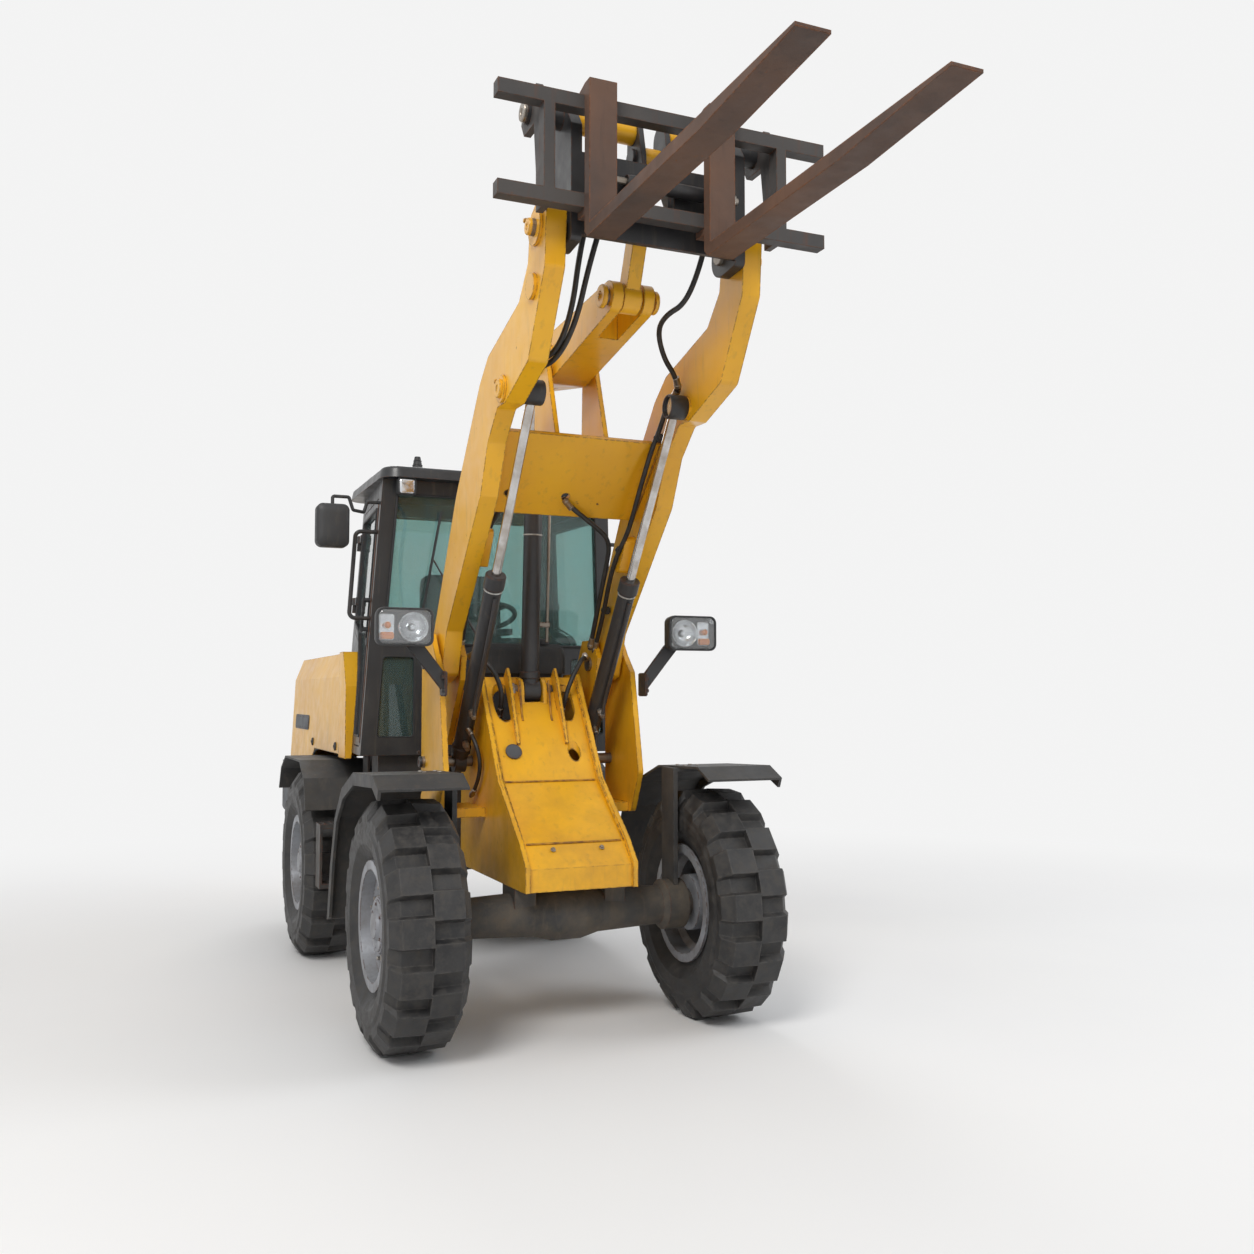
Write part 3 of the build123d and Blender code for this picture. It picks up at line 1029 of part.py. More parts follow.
with BuildPart() as tail_lights:
    for side in (-1, 1):
        rear_block((side * 470.0, side * 590.0), (REAR_END, REAR_END + 14.0), (820.0, 900.0))
finish(tail_lights, "tail_lights")
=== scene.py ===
# %% [markdown]
# # Compact wheel loader with pallet forks: its looks
#
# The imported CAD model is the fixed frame. This script gives every CAD node a procedural
# material and adds the parts that are too fine for the solids: lamps, hoses, cushions,
# fasteners, seals, wipers and trim. All lengths are metres in the CAD's own frame:
# +Z is up, -Y is the way the machine drives and +X is its left-hand side.
#
# Each step starts with a note like this one: what the thing is on the real machine, how it
# could be made in Blender, and why it is made this way here.

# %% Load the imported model
import json
from math import cos, pi, radians, sin

import bmesh
import bpy
from mathutils import Matrix, Vector

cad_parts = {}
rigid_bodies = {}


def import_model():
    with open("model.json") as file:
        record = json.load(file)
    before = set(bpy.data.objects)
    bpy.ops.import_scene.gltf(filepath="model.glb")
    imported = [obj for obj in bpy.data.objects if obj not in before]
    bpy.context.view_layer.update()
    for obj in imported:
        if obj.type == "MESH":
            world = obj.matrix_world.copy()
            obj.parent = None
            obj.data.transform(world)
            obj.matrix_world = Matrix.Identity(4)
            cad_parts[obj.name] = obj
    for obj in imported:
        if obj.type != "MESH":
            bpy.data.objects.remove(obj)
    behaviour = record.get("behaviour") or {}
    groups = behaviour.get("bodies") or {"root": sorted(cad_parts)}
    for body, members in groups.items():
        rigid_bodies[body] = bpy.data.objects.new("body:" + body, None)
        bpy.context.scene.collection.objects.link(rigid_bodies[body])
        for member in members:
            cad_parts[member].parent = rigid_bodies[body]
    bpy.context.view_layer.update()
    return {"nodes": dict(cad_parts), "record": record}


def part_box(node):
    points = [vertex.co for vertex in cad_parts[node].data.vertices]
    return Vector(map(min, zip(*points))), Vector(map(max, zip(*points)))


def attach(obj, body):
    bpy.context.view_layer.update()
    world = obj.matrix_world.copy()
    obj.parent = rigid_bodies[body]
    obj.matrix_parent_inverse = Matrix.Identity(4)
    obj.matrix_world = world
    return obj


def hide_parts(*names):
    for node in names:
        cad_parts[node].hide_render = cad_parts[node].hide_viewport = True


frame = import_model()
NODES = frame["nodes"]
SIDES = (("right", -1), ("left", 1))
SEEN = set()  # objects that an earlier step has already named


def tell(step):
    """Print the names of the objects that a step added to the scene."""
    new = sorted(set(bpy.data.objects.keys()) - SEEN)
    SEEN.update(new)
    print(f"{step}: {len(new)} new objects:", ", ".join(new))


tell("CAD nodes")

# %% [markdown]
# ## Places taken from the CAD
#
# Details have to sit exactly on the solids. Their places could be typed in as plain numbers,
# but those would go wrong as soon as the model moved. So both axles are measured from the
# packed rims, and everything else is given from them: `front(q, z)` is a point of the side
# view, q ahead of the front axle.

# %% Axles and pivots
def middle(node):
    """Centre of a CAD node's box."""
    low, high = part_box(node)
    return (low + high) / 2


FRONT_AXLE = middle("rim_front_left")
REAR_AXLE = middle("rim_rear_left")
HINGE_Y = (FRONT_AXLE.y + REAR_AXLE.y) / 2
TRACK = FRONT_AXLE.x * 2


def front(q, z):
    """(y, z) of a side-view point, q ahead of the front axle."""
    return (FRONT_AXLE.y - q, z)


BOOM_PIVOT = front(-0.500, 1.520)
COUPLER_PIVOT = front(0.840, 2.995)
LIFT_EYE = front(0.450, 2.520)
LIFT_BASE = front(-0.550, 1.080)
ROCKER_PIVOT = front(0.010, 2.770)
ROCKER_REAR = front(-0.385, 2.815)
ROCKER_FRONT = front(0.665, 2.850)
TILT_BASE = front(-0.455, 1.395)
ARM_IN, ARM_OUT = 0.345, 0.420
CYLINDER_X = 0.300
PIN_END = 0.469  # outer ends of the frame's pins, from the middle plane
print(f"front axle {FRONT_AXLE.y:.3f}, rear axle {REAR_AXLE.y:.3f}")
print(f"hinge {HINGE_Y:.3f}, track {TRACK:.3f}")

# %% [markdown]
# ## Camera
#
# A low camera near the right front corner looks up a little, so that the raised arms stand
# tall. It could be aimed with a tracking constraint. Plain angles are used instead, because
# they stay put when a pose moves what the camera would track.

# %% Camera
camera_data = bpy.data.cameras.new("camera")
camera_data.lens = 34.6
camera_data.sensor_width = 36.0
camera = bpy.data.objects.new("camera", camera_data)
bpy.context.scene.collection.objects.link(camera)
camera.location = (-1.763, -5.192, 1.372)
camera.rotation_euler = (radians(90 + 3.27), 0, radians(-23.41))
bpy.context.scene.camera = camera
bpy.context.scene.view_settings.view_transform = "Standard"
print(f"camera: {camera_data.lens} mm at {tuple(camera.location)}")

# %% [markdown]
# ## World
#
# The machine stands in front of a plain pale ground. The world could be a picture of the
# sky, but that would show in the glass and the chrome, so it is one colour. Its light would
# wash the paint out at full strength. So a Light Path node shows it in full only to the
# camera, to mirrors and through glass, and lights the machine with half of it.

# %% World
PAPER = (0.900, 0.900, 0.900, 1)  # the floor and the world behind it
AMBIENT = 0.50  # how much of the world's light falls on the machine


def seen_directly(tree):
    """1 on rays from the camera, and on those that metal mirrors or glass lets through."""
    path = tree.nodes.new("ShaderNodeLightPath")
    seen = path.outputs["Is Camera Ray"]
    for name in ("Is Glossy Ray", "Is Transmission Ray"):
        either = tree.nodes.new("ShaderNodeMath")
        either.operation = "MAXIMUM"
        tree.links.new(seen, either.inputs[0])
        tree.links.new(path.outputs[name], either.inputs[1])
        seen = either.outputs[0]
    return seen


world = bpy.data.worlds.new("world")
bpy.context.scene.world = world
world.use_nodes = True
backdrop = world.node_tree.nodes["Background"]
backdrop.inputs["Color"].default_value = PAPER
strength = world.node_tree.nodes.new("ShaderNodeMapRange")
strength.inputs["To Min"].default_value = AMBIENT
strength.inputs["To Max"].default_value = 1.0
world.node_tree.links.new(seen_directly(world.node_tree), strength.inputs["Value"])
world.node_tree.links.new(strength.outputs["Result"], backdrop.inputs["Strength"])
print(f"world: {AMBIENT} of its light falls on the machine")

# %% [markdown]
# ## Lights
#
# Daylight from a wide sky has a soft main direction. One sun lamp would draw hard shadows,
# so three large discs are used: a key from the right front, a weaker one from the left that
# opens the shadows, and one from behind that draws the outline.

# %% Lights
def area_light(name, location, target, size, power, colour=(1, 1, 1)):
    data = bpy.data.lights.new(name, "AREA")
    data.shape = "DISK"
    data.size = size
    data.energy = power
    data.color = colour
    light = bpy.data.objects.new(name, data)
    light.location = location
    light.rotation_euler = (Vector(target) - Vector(location)).to_track_quat("-Z", "Y").to_euler()
    bpy.context.scene.collection.objects.link(light)


area_light("key_light", (-5.0, -6.5, 8.0), (0, 0, 1.4), 4.0, 560, (1.0, 0.98, 0.95))
area_light("side_light", (7.0, -3.0, 5.0), (0, 0, 1.4), 5.0, 190, (0.94, 0.97, 1.0))
area_light("back_light", (1.0, 8.0, 6.5), (0, 1, 1.2), 5.0, 230)
tell("Lights")

# %% [markdown]
# ## Node tree helper
#
# A procedural material is a chain of small nodes. Linking each by hand in the editor gives
# the same result but can't be read as text. This class gives every node that the finishes
# need one short name. Object coordinates are metres of the row frame, so a pattern keeps its
# scale on every node.

# %% Node tree helper
class Tree:
    """Short names for building a material's node tree."""

    def __init__(self, name):
        self.material = bpy.data.materials.new(name)
        self.material.use_nodes = True
        self.nodes = self.material.node_tree.nodes
        self.links = self.material.node_tree.links
        self.shader = self.nodes["Principled BSDF"]

    def add(self, kind, **settings):
        node = self.nodes.new(kind)
        for key, value in settings.items():
            setattr(node, key, value)
        return node

    def join(self, source, target):
        self.links.new(source, target)

    def coordinates(self):
        return self.add("ShaderNodeTexCoord").outputs["Object"]

    def noise(self, scale, detail=4.0, rough=0.55, stretch=None):
        """Noise value over the object coordinates, stretched along an axis where asked."""
        node = self.add("ShaderNodeTexNoise")
        node.inputs["Scale"].default_value = scale
        node.inputs["Detail"].default_value = detail
        node.inputs["Roughness"].default_value = rough
        place = self.coordinates()
        if stretch:
            mapping = self.add("ShaderNodeMapping")
            mapping.inputs["Scale"].default_value = stretch
            self.join(place, mapping.inputs["Vector"])
            place = mapping.outputs["Vector"]
        self.join(place, node.inputs["Vector"])
        return node.outputs["Fac"]

    def ramp(self, value, low, high, start=0.0, end=1.0):
        """Value mapped from low..high to start..end, clamped."""
        node = self.add("ShaderNodeMapRange")
        node.inputs["From Min"].default_value = low
        node.inputs["From Max"].default_value = high
        node.inputs["To Min"].default_value = start
        node.inputs["To Max"].default_value = end
        self.join(value, node.inputs["Value"])
        return node.outputs["Result"]

    def math(self, operation, a, b):
        node = self.add("ShaderNodeMath", operation=operation, use_clamp=True)
        for socket, value in zip(node.inputs, (a, b)):
            if isinstance(value, (int, float)):
                socket.default_value = value
            else:
                self.join(value, socket)
        return node.outputs[0]

    def mix(self, factor, a, b):
        """Colour mix. a and b are colours or sockets."""
        node = self.add("ShaderNodeMix", data_type="RGBA")
        self.join(factor, node.inputs["Factor"])
        for name, value in (("A", a), ("B", b)):
            socket = [s for s in node.inputs if s.name == name and s.type == "RGBA"][0]
            if isinstance(value, tuple):
                socket.default_value = (*value, 1)
            else:
                self.join(value, socket)
        return [s for s in node.outputs if s.type == "RGBA"][0]

    def edges(self, radius):
        """1 on sharp edges and 0 on flat faces."""
        bevel = self.add("ShaderNodeBevel", samples=4)
        bevel.inputs["Radius"].default_value = radius
        dot = self.add("ShaderNodeVectorMath", operation="DOT_PRODUCT")
        self.join(bevel.outputs["Normal"], dot.inputs[0])
        self.join(self.add("ShaderNodeNewGeometry").outputs["Normal"], dot.inputs[1])
        return self.ramp(dot.outputs["Value"], 0.995, 0.80)

    def bump(self, height, strength, distance, soft_edge=0.003):
        """Bump on top of a rounded-edge normal."""
        node = self.add("ShaderNodeBump")
        node.inputs["Strength"].default_value = strength
        node.inputs["Distance"].default_value = distance
        self.join(height, node.inputs["Height"])
        if soft_edge:
            bevel = self.add("ShaderNodeBevel", samples=4)
            bevel.inputs["Radius"].default_value = soft_edge
            self.join(bevel.outputs["Normal"], node.inputs["Normal"])
        self.join(node.outputs["Normal"], self.shader.inputs["Normal"])

    def height(self):
        """Height above the floor at rest, in metres."""
        split = self.add("ShaderNodeSeparateXYZ")
        self.join(self.coordinates(), split.inputs[0])
        return split.outputs["Z"]


# %% [markdown]
# ## Painted, cast and bare metal
#
# Real paint is never one colour: it fades in clouds, streaks where water runs, chips on the
# edges down to rust, and gathers dirt low down. Painted textures could show that, but they
# need image files and unwrapping. `weathered` works it out from the form instead. The Bevel
# node finds the sharp edges, noise breaks that mask into chips, and the height above the
# floor places the dirt. Every finish puts itself into MATERIALS under its own name.

# %% Weathered finish
MATERIALS = {}


def weathered(name, colour, shade, chip, dirt, rough, wear=0.5, spots=0.5, metallic=0.0, coat=0.0,
              dusty=0.5):
    """Hard finish: two tones of one colour, chipped edges, rust spots, streaks and dirt."""
    tree = Tree(name)
    # Faded and fresh areas, about half a metre across.
    clouds = tree.ramp(tree.noise(2.2, 5.0), 0.35, 0.68)
    colour_out = tree.mix(clouds, colour, shade)
    # Streaks that run down: the noise is stretched about nine times along Z.
    streaks = tree.ramp(tree.noise(7.0, 6.0, 0.6, (5.0, 5.0, 0.55)), 0.56, 0.78, 0.0, 0.55)
    colour_out = tree.mix(tree.math("MULTIPLY", streaks, dusty), colour_out, dirt)
    # Grime, from a height of 1.5 m down to the ground.
    low_down = tree.ramp(tree.height(), 1.5, 0.25, 0.0, 0.75)
    grime = tree.math("MULTIPLY", low_down, tree.ramp(tree.noise(9.0, 7.0, 0.65), 0.38, 0.66))
    colour_out = tree.mix(tree.math("MULTIPLY", grime, dusty), colour_out, dirt)
    # Chips along the sharp edges, and specks on the flats inside large patches.
    rim = tree.edges(0.009)
    broken = tree.ramp(tree.noise(38.0, 6.0, 0.7), 0.53 - 0.12 * wear, 0.60 - 0.12 * wear)
    chips = tree.math("MULTIPLY", rim, broken)
    speck = tree.ramp(tree.noise(23.0, 8.0, 0.68), 0.70 - 0.06 * spots, 0.74 - 0.06 * spots)
    patch = tree.ramp(tree.noise(3.1, 3.0), 0.44, 0.60)
    worn = tree.math("MAXIMUM", chips, tree.math("MULTIPLY", speck, patch))
    # The bare spots vary from fresh to dark rust.
    rust = tree.mix(tree.ramp(tree.noise(60.0, 4.0), 0.4, 0.65), chip,
                    tuple(0.45 * c for c in chip))
    colour_out = tree.mix(worn, colour_out, rust)
    tree.join(colour_out, tree.shader.inputs["Base Color"])
    # Worn and dirty spots are duller than clean paint.
    gloss = tree.ramp(tree.noise(14.0, 5.0), 0.3, 0.7, rough - 0.07, rough + 0.10)
    gloss = tree.math("ADD", gloss, tree.math("MULTIPLY", tree.math("MAXIMUM", worn, grime), 0.35))
    tree.join(gloss, tree.shader.inputs["Roughness"])
    tree.shader.inputs["Metallic"].default_value = metallic
    tree.shader.inputs["Coat Weight"].default_value = coat
    tree.shader.inputs["Coat Roughness"].default_value = 0.22
    # The paint has a fine orange peel, and the worn spots lie lower.
    peel = tree.math("SUBTRACT", tree.ramp(tree.noise(110.0, 3.0), 0.2, 0.8, 0.3, 0.5),
                     tree.math("MULTIPLY", worn, 0.3))
    tree.bump(peel, 0.28, 0.0012)
    MATERIALS[name] = tree.material


# %% Hard finishes
RUST = (0.115, 0.040, 0.017)
DUST = (0.150, 0.120, 0.085)
GREASE = (0.035, 0.028, 0.020)
weathered("frame_yellow", (0.840, 0.440, 0.008), (0.740, 0.360, 0.009), RUST, (0.30, 0.17, 0.03),
          0.36, wear=0.7, spots=0.55, coat=0.25, dusty=0.7)
weathered("black_metal", (0.020, 0.020, 0.022), (0.034, 0.033, 0.034), RUST, DUST, 0.42, wear=0.6,
          spots=0.35)
weathered("cab_black", (0.017, 0.018, 0.020), (0.028, 0.029, 0.032), RUST, DUST, 0.40, wear=0.4,
          spots=0.25, coat=0.15)
weathered("dark_grey", (0.048, 0.055, 0.068), (0.070, 0.076, 0.086), RUST, DUST, 0.55, wear=0.45,
          spots=0.3)
weathered("black_plastic", (0.022, 0.023, 0.025), (0.040, 0.041, 0.043), (0.10, 0.10, 0.10), DUST,
          0.58, wear=0.2, spots=0.0)
weathered("cast_dark", (0.030, 0.030, 0.031), (0.055, 0.050, 0.045), RUST, DUST, 0.62, wear=0.5,
          spots=0.5, dusty=0.9)
weathered("rusty_steel", (0.150, 0.078, 0.048), (0.070, 0.048, 0.040), (0.26, 0.095, 0.035),
          (0.035, 0.030, 0.028), 0.62, wear=0.9, spots=0.9, metallic=0.25, dusty=0.8)
weathered("worn_bar", (0.046, 0.044, 0.044), (0.072, 0.062, 0.056), (0.16, 0.070, 0.035), RUST,
          0.55, wear=0.85, spots=0.8, metallic=0.2, dusty=0.8)
weathered("bare_steel", (0.34, 0.31, 0.27), (0.22, 0.18, 0.14), RUST, GREASE, 0.42, wear=0.5,
          spots=0.6, metallic=0.85, dusty=0.6)
weathered("rim_silver", (0.36, 0.38, 0.41), (0.27, 0.28, 0.31), RUST, (0.13, 0.11, 0.09), 0.42,
          wear=0.5, spots=0.3, metallic=0.35, dusty=0.8)
print("hard finishes:", ", ".join(MATERIALS))

# %% [markdown]
# ## Small parts' finishes
#
# Chrome, fabric, fittings, lenses and seals are too small for chips and streaks to show.
# They could share the tree above with its wear turned down, but its many nodes are slow to
# render, so `simple` has only two quiet tones and a fine grain.

# %% Simple finish
def simple(name, colour, shade, rough, scale, metallic=0.0, coat=0.0, bump=0.2, depth=0.0006,
           stretch=None):
    """Finish with a quiet two-tone pattern and a fine grain, for small parts."""
    tree = Tree(name)
    spread = tree.ramp(tree.noise(scale / 8, 4.0), 0.35, 0.65)
    grain = tree.noise(scale, 5.0, 0.6, stretch)
    tree.join(tree.mix(spread, colour, shade), tree.shader.inputs["Base Color"])
    tree.join(tree.ramp(grain, 0.3, 0.7, rough - 0.06, rough + 0.08),
              tree.shader.inputs["Roughness"])
    tree.shader.inputs["Metallic"].default_value = metallic
    tree.shader.inputs["Coat Weight"].default_value = coat
    tree.bump(grain, bump, depth, soft_edge=0.0015)
    MATERIALS[name] = tree.material


# %% Small finishes
simple("chrome_rod", (0.62, 0.61, 0.60), (0.38, 0.34, 0.30), 0.16, 90.0, 1.0, bump=0.05)
simple("seat_fabric", (0.022, 0.023, 0.026), (0.034, 0.034, 0.037), 0.85, 900.0, bump=0.5,
       depth=0.001)
simple("steel_fitting", (0.42, 0.39, 0.35), (0.25, 0.21, 0.17), 0.35, 140.0, 0.9)
simple("hose_rubber", (0.014, 0.014, 0.015), (0.030, 0.029, 0.028), 0.50, 260.0, bump=0.35)
simple("seal_rubber", (0.010, 0.010, 0.011), (0.020, 0.020, 0.021), 0.55, 200.0)
simple("red_lens", (0.42, 0.010, 0.008), (0.30, 0.008, 0.006), 0.18, 300.0, coat=0.8, bump=0.3,
       stretch=(1, 0.01, 1))
simple("amber", (0.72, 0.22, 0.012), (0.55, 0.15, 0.010), 0.20, 300.0, coat=0.8)
simple("reflector", (0.80, 0.81, 0.82), (0.62, 0.63, 0.65), 0.14, 160.0, 1.0, bump=0.3, depth=0.002)
simple("weld", (0.50, 0.235, 0.010), (0.16, 0.07, 0.02), 0.55, 320.0, bump=0.8, depth=0.002)
simple("white_ring", (0.62, 0.62, 0.60), (0.30, 0.28, 0.25), 0.5, 160.0)
simple("mirror_glass", (0.60, 0.63, 0.66), (0.50, 0.53, 0.56), 0.05, 60.0, 1.0, bump=0.02)
print("all finishes so far:", len(MATERIALS))

# %% [markdown]
# ## Tyre rubber and window glass
#
# Tyres are near black with pale dust on the lugs. The windows are tinted panes with a film
# of dust. The refractive index of real glass is about 1.5. A pane could be one flat sheet,
# which hardly bends the view, but the CAD panes are solids, and at 1.5 their edges and slants
# would distort the cab's inside. So the index is lowered to 1.10.

# %% Rubber and glass
def rubber():
    """Tyre rubber: near black, brown-grey dust in patches and on the lugs."""
    tree = Tree("tyre_rubber")
    base = tree.mix(tree.ramp(tree.noise(11.0, 6.0), 0.35, 0.65), (0.013, 0.013, 0.014),
                    (0.030, 0.029, 0.029))
    dust = tree.ramp(tree.noise(26.0, 8.0, 0.7), 0.46, 0.72, 0.0, 0.75)
    worn = tree.math("MULTIPLY", tree.edges(0.012),
                     tree.ramp(tree.noise(55.0, 4.0), 0.4, 0.6, 0.2, 0.9))
    base = tree.mix(dust, base, (0.075, 0.068, 0.060))
    base = tree.mix(tree.math("MULTIPLY", worn, 0.5), base, (0.13, 0.12, 0.11))
    tree.join(base, tree.shader.inputs["Base Color"])
    tree.join(tree.ramp(dust, 0.0, 0.75, 0.52, 0.90), tree.shader.inputs["Roughness"])
    tree.bump(tree.noise(170.0, 6.0, 0.7), 0.45, 0.002, 0.006)
    MATERIALS["tyre_rubber"] = tree.material


def pane(name, tint, rough=0.03):
    """Tinted window glass with a thin film of dust."""
    tree = Tree(name)
    film = tree.ramp(tree.noise(6.0, 7.0, 0.6, (1.0, 1.0, 0.6)), 0.45, 0.80, 0.0, 0.4)
    tree.join(tree.mix(film, tint, (0.55, 0.56, 0.52)), tree.shader.inputs["Base Color"])
    tree.shader.inputs["Transmission Weight"].default_value = 0.92
    tree.shader.inputs["IOR"].default_value = 1.10
    tree.join(tree.ramp(film, 0.0, 0.4, rough, 0.22), tree.shader.inputs["Roughness"])
    tree.shader.inputs["Coat Weight"].default_value = 0.7
    tree.shader.inputs["Coat Roughness"].default_value = 0.02
    tree.bump(film, 0.05, 0.0005, 0)
    MATERIALS[name] = tree.material


rubber()
pane("cab_pane", (0.42, 0.60, 0.58))
pane("clear_lens", (0.93, 0.95, 0.96), 0.02)

# %% [markdown]
# ## Finishes onto the CAD nodes
#
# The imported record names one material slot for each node, and that slot says which finish
# the node gets. The fork carriage is the one exception: its slot is plain black metal, but
# its bars are scraped bare, so it gets the worn one.

# %% Finishes onto the CAD nodes
slot_of = {entry["node"]: entry["material_slot"] for entry in frame["record"]["subparts"]}
for name, node in NODES.items():
    node.data.materials.clear()
    node.data.materials.append(MATERIALS[slot_of[name]])
NODES["fork_carriage"].data.materials[0] = MATERIALS["worn_bar"]
print(f"{len(NODES)} CAD nodes have a finish")

# %% [markdown]
# ## Floor
#
# A studio floor runs into its backdrop without a line. A curved backdrop would do that, but
# it has to fit one camera. This floor is flat, and beyond a few metres it fades to the
# world's own colour, so the horizon is gone from every side and the shadows stay.

# %% Floor
FLOOR_HALF = 60.0
FADE_FROM, FADE_TO = 2.6, 7.5  # distance from the middle over which the floor turns to paper
floor_mesh = bpy.data.meshes.new("floor")
corners = [(-FLOOR_HALF, -FLOOR_HALF, 0), (FLOOR_HALF, -FLOOR_HALF, 0), (FLOOR_HALF, FLOOR_HALF, 0),
           (-FLOOR_HALF, FLOOR_HALF, 0)]
floor_mesh.from_pydata(corners, [], [(0, 1, 2, 3)])
floor = bpy.data.objects.new("floor", floor_mesh)
bpy.context.scene.collection.objects.link(floor)
paper = Tree("floor_paper")
clouds = paper.ramp(paper.noise(0.8, 2.0), 0.3, 0.7)
paper.join(paper.mix(clouds, (0.90, 0.90, 0.90), (0.885, 0.885, 0.89)),
           paper.shader.inputs["Base Color"])
paper.shader.inputs["Roughness"].default_value = 0.9
distance = paper.add("ShaderNodeVectorMath", operation="LENGTH")
paper.join(paper.coordinates(), distance.inputs[0])
far = paper.add("ShaderNodeMapRange", interpolation_type="SMOOTHSTEP")
far.inputs["From Min"].default_value = FADE_FROM
far.inputs["From Max"].default_value = FADE_TO
paper.join(distance.outputs["Value"], far.inputs["Value"])
fade = paper.math("MULTIPLY", far.outputs["Result"], seen_directly(paper.material.node_tree))
glow = paper.add("ShaderNodeEmission")
glow.inputs["Color"].default_value = PAPER
blend = paper.add("ShaderNodeMixShader")
paper.join(fade, blend.inputs["Fac"])
paper.join(paper.shader.outputs["BSDF"], blend.inputs[1])
paper.join(glow.outputs["Emission"], blend.inputs[2])
output = next(node for node in paper.nodes if node.type == "OUTPUT_MATERIAL")
paper.join(blend.outputs["Shader"], output.inputs["Surface"])
floor_mesh.materials.append(paper.material)
tell("Floor")

# %% [markdown]
# ## Wheels
#
# Each wheel is held by ten nuts on their studs, round a turned hub with its own ring of
# small bolts, and has one valve. They could be instances of one modelled nut. A bmesh that
# gathers them all is chosen here, because one piece for each wheel keeps the table of pieces
# short. `piece` turns a finished bmesh into an object that rides on a CAD body.


def piece(name, bm, material, body):
    """Object from a bmesh, smooth shaded below 35 degrees."""
    bmesh.ops.recalc_face_normals(bm, faces=bm.faces)
    mesh = bpy.data.meshes.new(name)
    bm.to_mesh(mesh)
    bm.free()
    mesh.polygons.foreach_set("use_smooth", [True] * len(mesh.polygons))
    mesh.set_sharp_from_angle(angle=radians(35))
    mesh.materials.append(MATERIALS[material])
    made = bpy.data.objects.new(name, mesh)
    bpy.context.scene.collection.objects.link(made)
    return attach(made, body)


# %% Turned forms and bolts
def turned(bm, profile, centre, axis, segments=28, band=False):
    """Turned form through (distance along the axis, radius). A band stays open inside."""
    axis = Vector(axis).normalized()
    centre = Vector(centre)
    across = axis.orthogonal().normalized()
    third = axis.cross(across)
    rings = []
    for along, radius in profile:
        middle_point = centre + axis * along
        if radius < 1e-6:
            rings.append([bm.verts.new(middle_point)] * segments)
            continue
        ring = []
        for n in range(segments):
            turn = 2 * pi * n / segments
            spoke = across * cos(turn) + third * sin(turn)
            ring.append(bm.verts.new(middle_point + spoke * radius))
        rings.append(ring)
    for low, high in zip(rings, rings[1:]):
        for n in range(segments):
            corners = (low[n], low[(n + 1) % segments], high[(n + 1) % segments], high[n])
            bm.faces.new(list(dict.fromkeys(corners)))
    if band:
        for n in range(segments):
            far = (n + 1) % segments
            bm.faces.new((rings[-1][n], rings[-1][far], rings[0][far], rings[0][n]))
        return
    for ring in (rings[0], rings[-1]):
        if len(set(ring)) > 2:
            bm.faces.new(ring)


def bolt(bm, at, axis, size=0.018):
    """Hexagon head on a washer, with its corners chamfered."""
    turned(bm, [(-0.001, size * 1.05), (size * 0.12, size * 1.05), (size * 0.16, size * 0.98)], at,
           axis, 20)
    turned(bm,
           [(size * 0.16, size * 0.80), (size * 0.68, size * 0.80), (size * 0.80, size * 0.68),
            (size * 0.80, 0)], at, axis, 6)


# %% Wheel nuts, valves and hub rings
DISC_FACE = 0.072  # outer face of the wheel disc, outboard of the tyre's middle plane
HUB_OUT = 0.0335  # the hub cap stands this far outside the disc
NUTS, NUT_CIRCLE = 10, 0.143
HUB_BOLTS, HUB_BOLT_CIRCLE = 6, 0.082
VALVE_CIRCLE, VALVE_TURN = 0.160, 0.3
for end, axle in (("front", FRONT_AXLE), ("rear", REAR_AXLE)):
    for side_name, side in SIDES:
        body = f"wheel_{end}_{side_name}"
        out = (side, 0, 0)
        face = side * (TRACK / 2 + DISC_FACE)
        bm = bmesh.new()
        for n in range(NUTS):
            turn = 2 * pi * n / NUTS
            at = (face, axle.y + NUT_CIRCLE * cos(turn), axle.z + NUT_CIRCLE * sin(turn))
            bolt(bm, at, out, 0.0165)
            turned(bm, [(0.0, 0.0075), (0.024, 0.0075), (0.026, 0.006), (0.026, 0)], at, out, 10)
        valve = (face - side * 0.004, axle.y + VALVE_CIRCLE * cos(VALVE_TURN),
                 axle.z + VALVE_CIRCLE * sin(VALVE_TURN))
        turned(bm, [(0.0, 0.006), (0.020, 0.005), (0.034, 0.0045), (0.036, 0)], valve, out, 10)
        piece(f"wheel_nuts_{end}_{side_name}", bm, "steel_fitting", body)
        bm = bmesh.new()
        cap_face = (face + side * HUB_OUT, axle.y, axle.z)
        turned(bm, [(0.0, 0.100), (0.003, 0.100), (0.006, 0.096), (0.006, 0.066), (0.004, 0.063)],
               cap_face, out, 40)
        for n in range(HUB_BOLTS):
            turn = 2 * pi * (n + 0.5) / HUB_BOLTS
            at = (cap_face[0] + side * 0.005, axle.y + HUB_BOLT_CIRCLE * cos(turn),
                  axle.z + HUB_BOLT_CIRCLE * sin(turn))
            bolt(bm, at, out, 0.008)
        piece(f"hub_ring_{end}_{side_name}", bm, "rim_silver", body)
tell("Wheels")

# %% [markdown]
# ## Headlights
#
# A moulded housing stands on a plate arm at each tower. The round lamp is on the inner side
# and the turn lamp on the outer one, under one clear cover. A box with a bevel would give
# the outline, but a moulding also swells and draws in from front to back. So each shell is a
# skin over nested rounded rectangles, from the back, round the rim and into the bowl.

